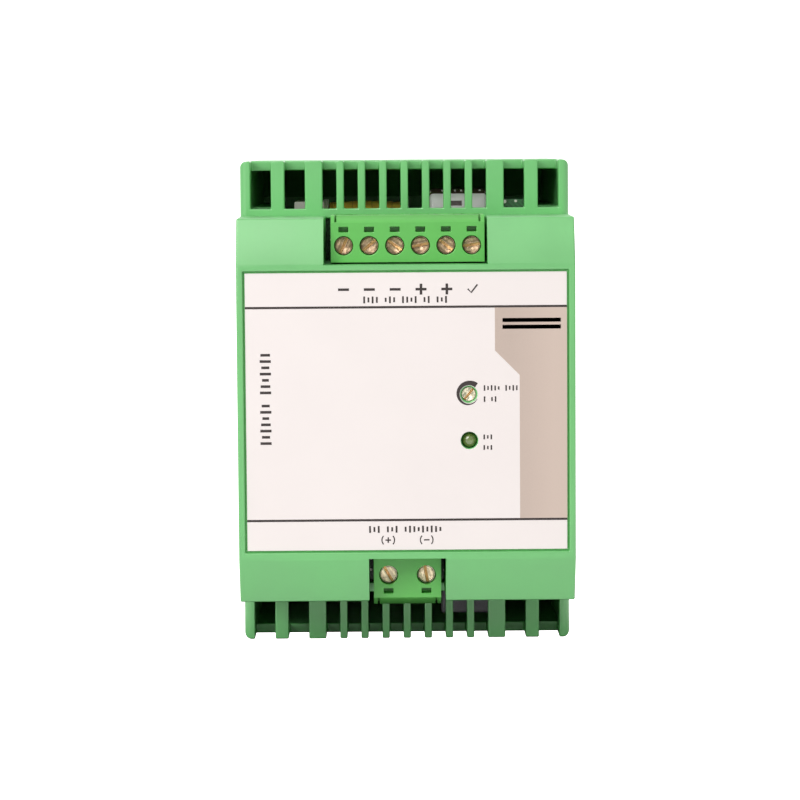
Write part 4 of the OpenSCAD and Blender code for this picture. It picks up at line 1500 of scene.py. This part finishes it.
@dataclass
class CanCapacitor:
    """A can capacitor lying along X: sleeve, crimped can, scored end and leads.

    Attributes:
        node: The CAD node that it stands for.
        faces_left: Whether its scored end points to -X.
        stripe_turn: Where the stripe is, round the can from the front upwards.
        radius: Radius of the can.
        stand_off: Length of its leads between the can and the board.
    """

    node: str
    faces_left: bool
    stripe_turn: float
    radius: float
    stand_off: float = 0.4 * MM

    def __post_init__(self) -> None:
        """Reads the can's place from the frame."""
        self.low, self.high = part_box(self.node)
        self.middle = (self.low + self.high) / 2
        self.way = -1 if self.faces_left else 1
        if self.faces_left:
            self.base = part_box("secondary_board")[0].x - self.stand_off
            self.top = self.low.x
        else:
            self.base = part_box("primary_board")[1].x + self.stand_off
            self.top = self.high.x

    def at(self, x: float) -> Point:
        """The point of the can's axis at a place along X."""
        return (x, self.middle.y, self.middle.z)

    def build(self) -> None:
        """Builds the sleeve, the bare end with the painted shade of its score, the seal and the two leads.
        """
        length = abs(self.top - self.base)
        r = self.radius
        groove = 0.14 * r
        profile = [
            (0.55 * r, 0.0), (r - 0.5 * MM, 0.0), (r, 0.5 * MM), (r, 0.24 * r), (r - groove, 0.32 * r),
            (r - groove, 0.4 * r), (r, 0.5 * r), (r, length - 0.8 * MM), (r - 0.25 * MM, length - 0.25 * MM),
            (r - 0.9 * MM, length), (r - 1.1 * MM, length - 0.15 * MM), (0.4 * r, length - 0.15 * MM),
            (0.4 * r, 0.3 * MM), (0.55 * r, 0.0),
        ]
        profile = [(radius, self.way * along) for radius, along in profile]
        finish = ShrinkSleeve(
            f"sleeve_{self.node}", srgb(52, 38, 34), 0.26, stripe=srgb(226, 226, 226),
            centre=(self.middle.y, self.middle.z), turn=self.stripe_turn, mark_shift=10.8 * MM,
        )
        sleeve = Blank().lathe(profile, self.at(self.base), 72).round_edges(0.15 * MM, 2)
        sleeve.piece(f"{self.node}_sleeve", finish, ROOT, "capacitor_sleeve", [self.node])
        self.build_end()
        self.build_leads()

    def build_end(self) -> None:
        """Builds the bare metal end, and black strips where its crossed score is: painted shade in the
        grooves.
        """
        r = self.radius - 1.12 * MM
        face = self.top - self.way * 0.16 * MM
        end = Blank().disc(self.at(face - 0.2 * MM), r, 0.32 * MM, 64).round_edges(0.1 * MM, 2)
        end.piece(f"{self.node}_end", CAN_END, ROOT, "heat_sink_metal")
        # The score is drawn as thin black strips: painted shade in its grooves.
        score_shade = Blank()
        x = face + self.way * 0.14 * MM
        for turn in (math.radians(45), math.radians(135)):
            start = len(score_shade.mesh.verts)
            score_shade.box((x - 0.06 * MM, -0.8 * r, -0.12 * MM), (x + 0.06 * MM, 0.8 * r, 0.12 * MM))
            place = Matrix.Translation(self.at(0)) @ Matrix.Rotation(turn, 4, "X")
            bmesh.ops.transform(score_shade.mesh, matrix=place, verts=score_shade.since(start))
        score_shade.piece(f"{self.node}_score", SEAL, ROOT, "capacitor_sleeve")

    def build_leads(self) -> None:
        """Builds the rubber seal and the two leads that reach through the board."""
        seal_at = self.at(self.base + min(self.way, 0) * 0.5 * MM)
        seal = Blank().disc(seal_at, 0.52 * self.radius, 0.5 * MM).round_edges(0.1 * MM, 2)
        seal.piece(f"{self.node}_seal", SEAL, ROOT, "capacitor_sleeve")
        end = self.high.x if self.faces_left else self.low.x
        start = min(self.base + self.way * 0.3 * MM, end)
        length = abs(end - self.base) + 0.3 * MM
        leads = Blank()
        for side in (-1, 1):
            _, y, z = self.at(start)
            leads.disc((start, y + side * 0.4 * self.radius, z), 0.35 * MM, length, 16)
        leads.round_edges(0.1 * MM, 2).piece(f"{self.node}_leads", CONTACT, ROOT, "contact_metal")


@dataclass
class LineFilter:
    """Fuse, common-mode choke and suppression capacitors on the mains side.

    Attributes:
        ring: Radius of the choke's ring, to the middle of its section.
        turn: Radius of a turn of wire, to the wire's middle.
        wire: Radius of the wire.
        turns: Number of turns in each of the two coils.
        step: Angle from one turn to the next.
    """

    ring: float = 9.2 * MM
    turn: float = 5.12 * MM
    wire: float = 0.46 * MM
    turns: int = 8
    step: float = math.radians(16)

    def build(self) -> None:
        """Builds the filter's parts."""
        soften_node("input_fuse", FUSE_CASE, ROOT, "fuse_case", 0.3 * MM)
        soften_node("filter_capacitor", FILM_CASE, ROOT, "film_case", 0.6 * MM, 4)
        soften_node("suppression_capacitors", DISC, ROOT, "disc_coating", 0.9 * MM, 4)
        soften_node("choke_core", CHOKE, ROOT, "choke_coating", 0.9 * MM, 4)
        first = -self.step * (self.turns - 1) / 2
        angles = [side + first + self.step * count for side in (0, math.pi) for count in range(self.turns)]
        coils = Blank().loops(middle_of("choke_core"), self.ring, self.turn, self.wire, angles)
        coils.piece("choke_coils_wound", COPPER, ROOT, "copper_wire", ["choke_coils"])


@dataclass
class PowerStage:
    """Semiconductors, heat sinks, inductor and chips.

    Attributes:
        wire: Radius of the inductor's wire.
        turns: Number of its turns.
        leg_pitch: Spacing of the chips' legs.
        leg: Width of a leg.
    """

    wire: float = 0.44 * MM
    turns: int = 28
    leg_pitch: float = 1.27 * MM
    leg: float = 0.4 * MM

    def build(self) -> None:
        """Builds the parts of the switching stage."""
        for node, finish, slot, width in (
            ("bridge_rectifier", RESIN, "chip_resin", 0.35 * MM),
            ("switch_transistor", RESIN, "chip_resin", 0.12 * MM),
            ("output_rectifier", RESIN, "chip_resin", 0.12 * MM),
            ("control_chips", RESIN, "chip_resin", 0.2 * MM),
            ("primary_heat_sink", SINK, "heat_sink_metal", 0.2 * MM),
            ("secondary_heat_sink", SINK, "heat_sink_metal", 0.2 * MM),
            ("heat_sink_screws", SCREW, "screw_metal", 0.3 * MM),
        ):
            soften_node(node, finish, ROOT, slot, width)
        self.build_inductor()
        self.build_chip_legs()

    def build_inductor(self) -> None:
        """Builds the ring core of the output inductor and the turns round it."""
        low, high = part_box("output_inductor")
        section = (high.x - low.x) / 2
        ring = (high.y - low.y) / 2 - section
        centre = (low + high) / 2
        core = section - 2 * self.wire - 0.05 * MM
        sides = 24
        around = [FULL_TURN * side / sides for side in range(sides + 1)]
        profile = [(ring + core * math.cos(angle), core * math.sin(angle)) for angle in around]
        Blank().lathe(profile, centre, 72).piece("output_inductor_core", POWDER, ROOT, "copper_wire")
        angles = [math.radians(20 + 320 * turn / (self.turns - 1)) for turn in range(self.turns)]
        coil = Blank().loops(centre, ring, section - self.wire, self.wire, angles)
        coil.piece("output_inductor_turns", COPPER, ROOT, "copper_wire", ["output_inductor"])

    def build_chip_legs(self) -> None:
        """Builds the legs and the first-leg marks of the control chips."""
        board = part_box("secondary_board")[0].x
        level = board - 1.6 * MM
        half = self.leg / 2
        legs = Blank()
        marks = Blank()
        for low, high in islands("control_chips"):
            count = max(2, round((high.z - low.z) / self.leg_pitch))
            pitch = (high.z - low.z) / count
            for step in range(count):
                z = low.z + (step + 0.5) * pitch
                for edge, way in ((low.y, -1), (high.y, 1)):
                    root, heel, tip = (edge + way * out * MM for out in (-0.1, 0.5, 0.75))
                    reach = sorted((root, tip))
                    foot = sorted((heel, tip))
                    legs.box((level, reach[0], z - half), (level + 0.25 * MM, reach[1], z + half))
                    legs.box((level, foot[0], z - half), (board, foot[1], z + half))
            corner = (low.x - 0.04 * MM, low.y + 1.1 * MM, high.z - 1.1 * MM)
            marks.disc(corner, 0.45 * MM, 0.06 * MM, 24)
        legs.round_edges(0.05 * MM, 1).piece("control_chip_legs", CONTACT, ROOT, "contact_metal")
        marks.piece("control_chip_marks", FIRST_LEG, ROOT, "chip_resin")


# ---------------------------------------------------------------------------
# Studio
# ---------------------------------------------------------------------------


@dataclass
class Studio:
    """Floor, lights and camera.

    Attributes:
        floor_drop: How far the floor lies below the object's middle.
        eye: Place of the camera, measured from the middle of the front frame.
        yaw: Turn of the view to the right.
        pitch: Tilt of the view downwards.
        roll: Turn of the camera round its own axis.
        lens: Focal length on a 36 mm sensor, in millimetres.
        sky_low: Strength of the sky below the horizon.
        sky_high: Strength of the sky overhead.
        sky_blend: How far the two blend above and below the horizon.
        warmth: Colour of the light.
    """

    floor_drop: float = 120 * MM
    eye: Point = (-3.6 * MM, -577.7 * MM, 51.7 * MM)
    yaw: float = 0.004
    pitch: float = 0.085
    roll: float = -0.007
    lens: float = 132.3
    sky_low: float = 0.43
    sky_high: float = 0.93
    sky_blend: float = 0.35
    warmth: Colour = (1.0, 0.96, 0.965)

    def build(self) -> None:
        """Sets up everything round the object."""
        self.build_floor()
        self.build_lights()
        self.build_flag()
        self.build_sky()
        self.build_camera()

    def build_floor(self) -> None:
        """Lays a wide sheet of paper that curves up behind the object."""
        reach = 4.0
        behind = 1.4
        bend = 0.9
        steps = 12
        blank = Blank()
        rise = [Vector((0, -reach, 0)), Vector((0, behind, 0))]
        for step in range(1, steps + 1):
            angle = math.pi / 2 * step / steps
            rise.append(Vector((0, behind + bend * math.sin(angle), bend * (1 - math.cos(angle)))))
        rise.append(Vector((0, behind + bend, reach)))
        line = [blank.mesh.verts.new(point + Vector((-reach, 0, -self.floor_drop))) for point in rise]
        edges = [blank.mesh.edges.new(pair) for pair in zip(line, line[1:])]
        swept = bmesh.ops.extrude_edge_only(blank.mesh, edges=edges)
        moved = [item for item in swept["geom"] if isinstance(item, bmesh.types.BMVert)]
        bmesh.ops.translate(blank.mesh, verts=moved, vec=(2 * reach, 0, 0))
        data = blank.to_data("studio_floor", PAPER)
        data.shade_smooth()
        floor = link("studio_floor", data)
        floor.visible_diffuse = False

    def build_lights(self) -> None:
        """Hangs a soft key at the upper left, and overhead a box that only shows in reflections."""
        self.area_light("key_light", (-0.42, -0.52, 0.3), 0.3, 2.3)
        top = self.area_light("top_light", (-0.24, -0.36, 0.5), 0.3, 2.6)
        top.visible_diffuse = False

    def build_sky(self) -> None:
        """Makes a sky that is brighter above than below."""
        world = bpy.data.worlds.new("studio_sky")
        world.use_nodes = True
        nodes = world.node_tree.nodes
        links = world.node_tree.links
        height = nodes.new("ShaderNodeSeparateXYZ")
        links.new(nodes.new("ShaderNodeTexCoord").outputs["Generated"], height.inputs[0])
        fade = nodes.new("ShaderNodeMapRange")
        fade.interpolation_type = "SMOOTHSTEP"
        fade.inputs["From Min"].default_value = -self.sky_blend
        fade.inputs["From Max"].default_value = self.sky_blend
        fade.inputs["To Min"].default_value = self.sky_low
        fade.inputs["To Max"].default_value = self.sky_high
        links.new(height.outputs["Z"], fade.inputs["Value"])
        background = nodes["Background"]
        background.inputs["Color"].default_value = (*self.warmth, 1.0)
        links.new(fade.outputs["Result"], background.inputs["Strength"])
        bpy.context.scene.world = world

    def build_flag(self) -> None:
        """Hangs a black card, out of the picture, that holds the light off the underside."""
        base_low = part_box("base_housing")[0]
        under = base_low.z - 3 * MM
        half = 60 * MM
        corner = (half, base_low.y + 40 * MM, under + 0.5 * MM)
        blank = Blank().box((-half, base_low.y - 21 * MM, under), corner)
        card = link("studio_flag", blank.to_data("studio_flag", CARD))
        card.visible_camera = False

    def area_light(self, name: str, place: Point, size: float, power: float) -> bpy.types.Object:
        """Adds one square soft light that looks at the object.

        Args:
            name: Its name.
            place: Where it hangs, round the middle of the front.
            size: Its side.
            power: Its power, in watts.

        Returns:
            The light's object.
        """
        data = bpy.data.lights.new(name, "AREA")
        data.shape = "SQUARE"
        data.size = size
        data.energy = power
        data.color = self.warmth
        light = link(name, data)
        aim = Vector((0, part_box("front_label")[0].y, 0))
        light.location = Vector(place) + aim
        light.rotation_euler = (aim - light.location).to_track_quat("-Z", "Y").to_euler()
        return light

    def build_camera(self) -> None:
        """Places the camera in front of the object, slightly above it."""
        data = bpy.data.cameras.new("camera")
        data.sensor_width = 36
        data.lens = self.lens
        data.clip_start = 0.01
        data.clip_end = 20
        camera = link("camera", data)
        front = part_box("front_housing")[0].y
        forward = Vector((math.sin(self.yaw), math.cos(self.yaw), -math.tan(self.pitch))).normalized()
        right = Vector((math.cos(self.yaw), -math.sin(self.yaw), 0))
        up = right.cross(forward)
        side = right * math.cos(self.roll) + up * math.sin(self.roll)
        over = up * math.cos(self.roll) - right * math.sin(self.roll)
        turn = Matrix((side, over, -forward)).transposed().to_4x4()
        camera.matrix_world = Matrix.Translation(Vector(self.eye) + Vector((0, front, 0))) @ turn
        bpy.context.scene.camera = camera


def main() -> None:
    """Builds the sub-assemblies in order, then the studio."""
    logging.basicConfig(level=logging.INFO, format="%(name)s: %(message)s")
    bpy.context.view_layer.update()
    bpy.context.scene.view_settings.view_transform = "Standard"
    assemblies = [
        Housing(),
        LabelPrint(),
        TerminalPlug(Side.OUTPUT),
        TerminalPlug(Side.INPUT),
        Indicators(),
        RailFoot(),
        Boards(),
        Transformer(),
        CanCapacitor("output_capacitor_1", True, math.radians(32), 6.3 * MM, 8.4 * MM),
        CanCapacitor("output_capacitor_2", True, math.radians(100), 6.3 * MM),
        CanCapacitor("output_capacitor_3", True, math.radians(20), 6.3 * MM),
        CanCapacitor("mains_capacitor", False, math.radians(150), 11 * MM),
        LineFilter(),
        PowerStage(),
        Studio(),
    ]
    for assembly in assemblies:
        LOG.info("building %s", type(assembly).__name__)
        assembly.build()


if __name__ == "__main__":
    main()
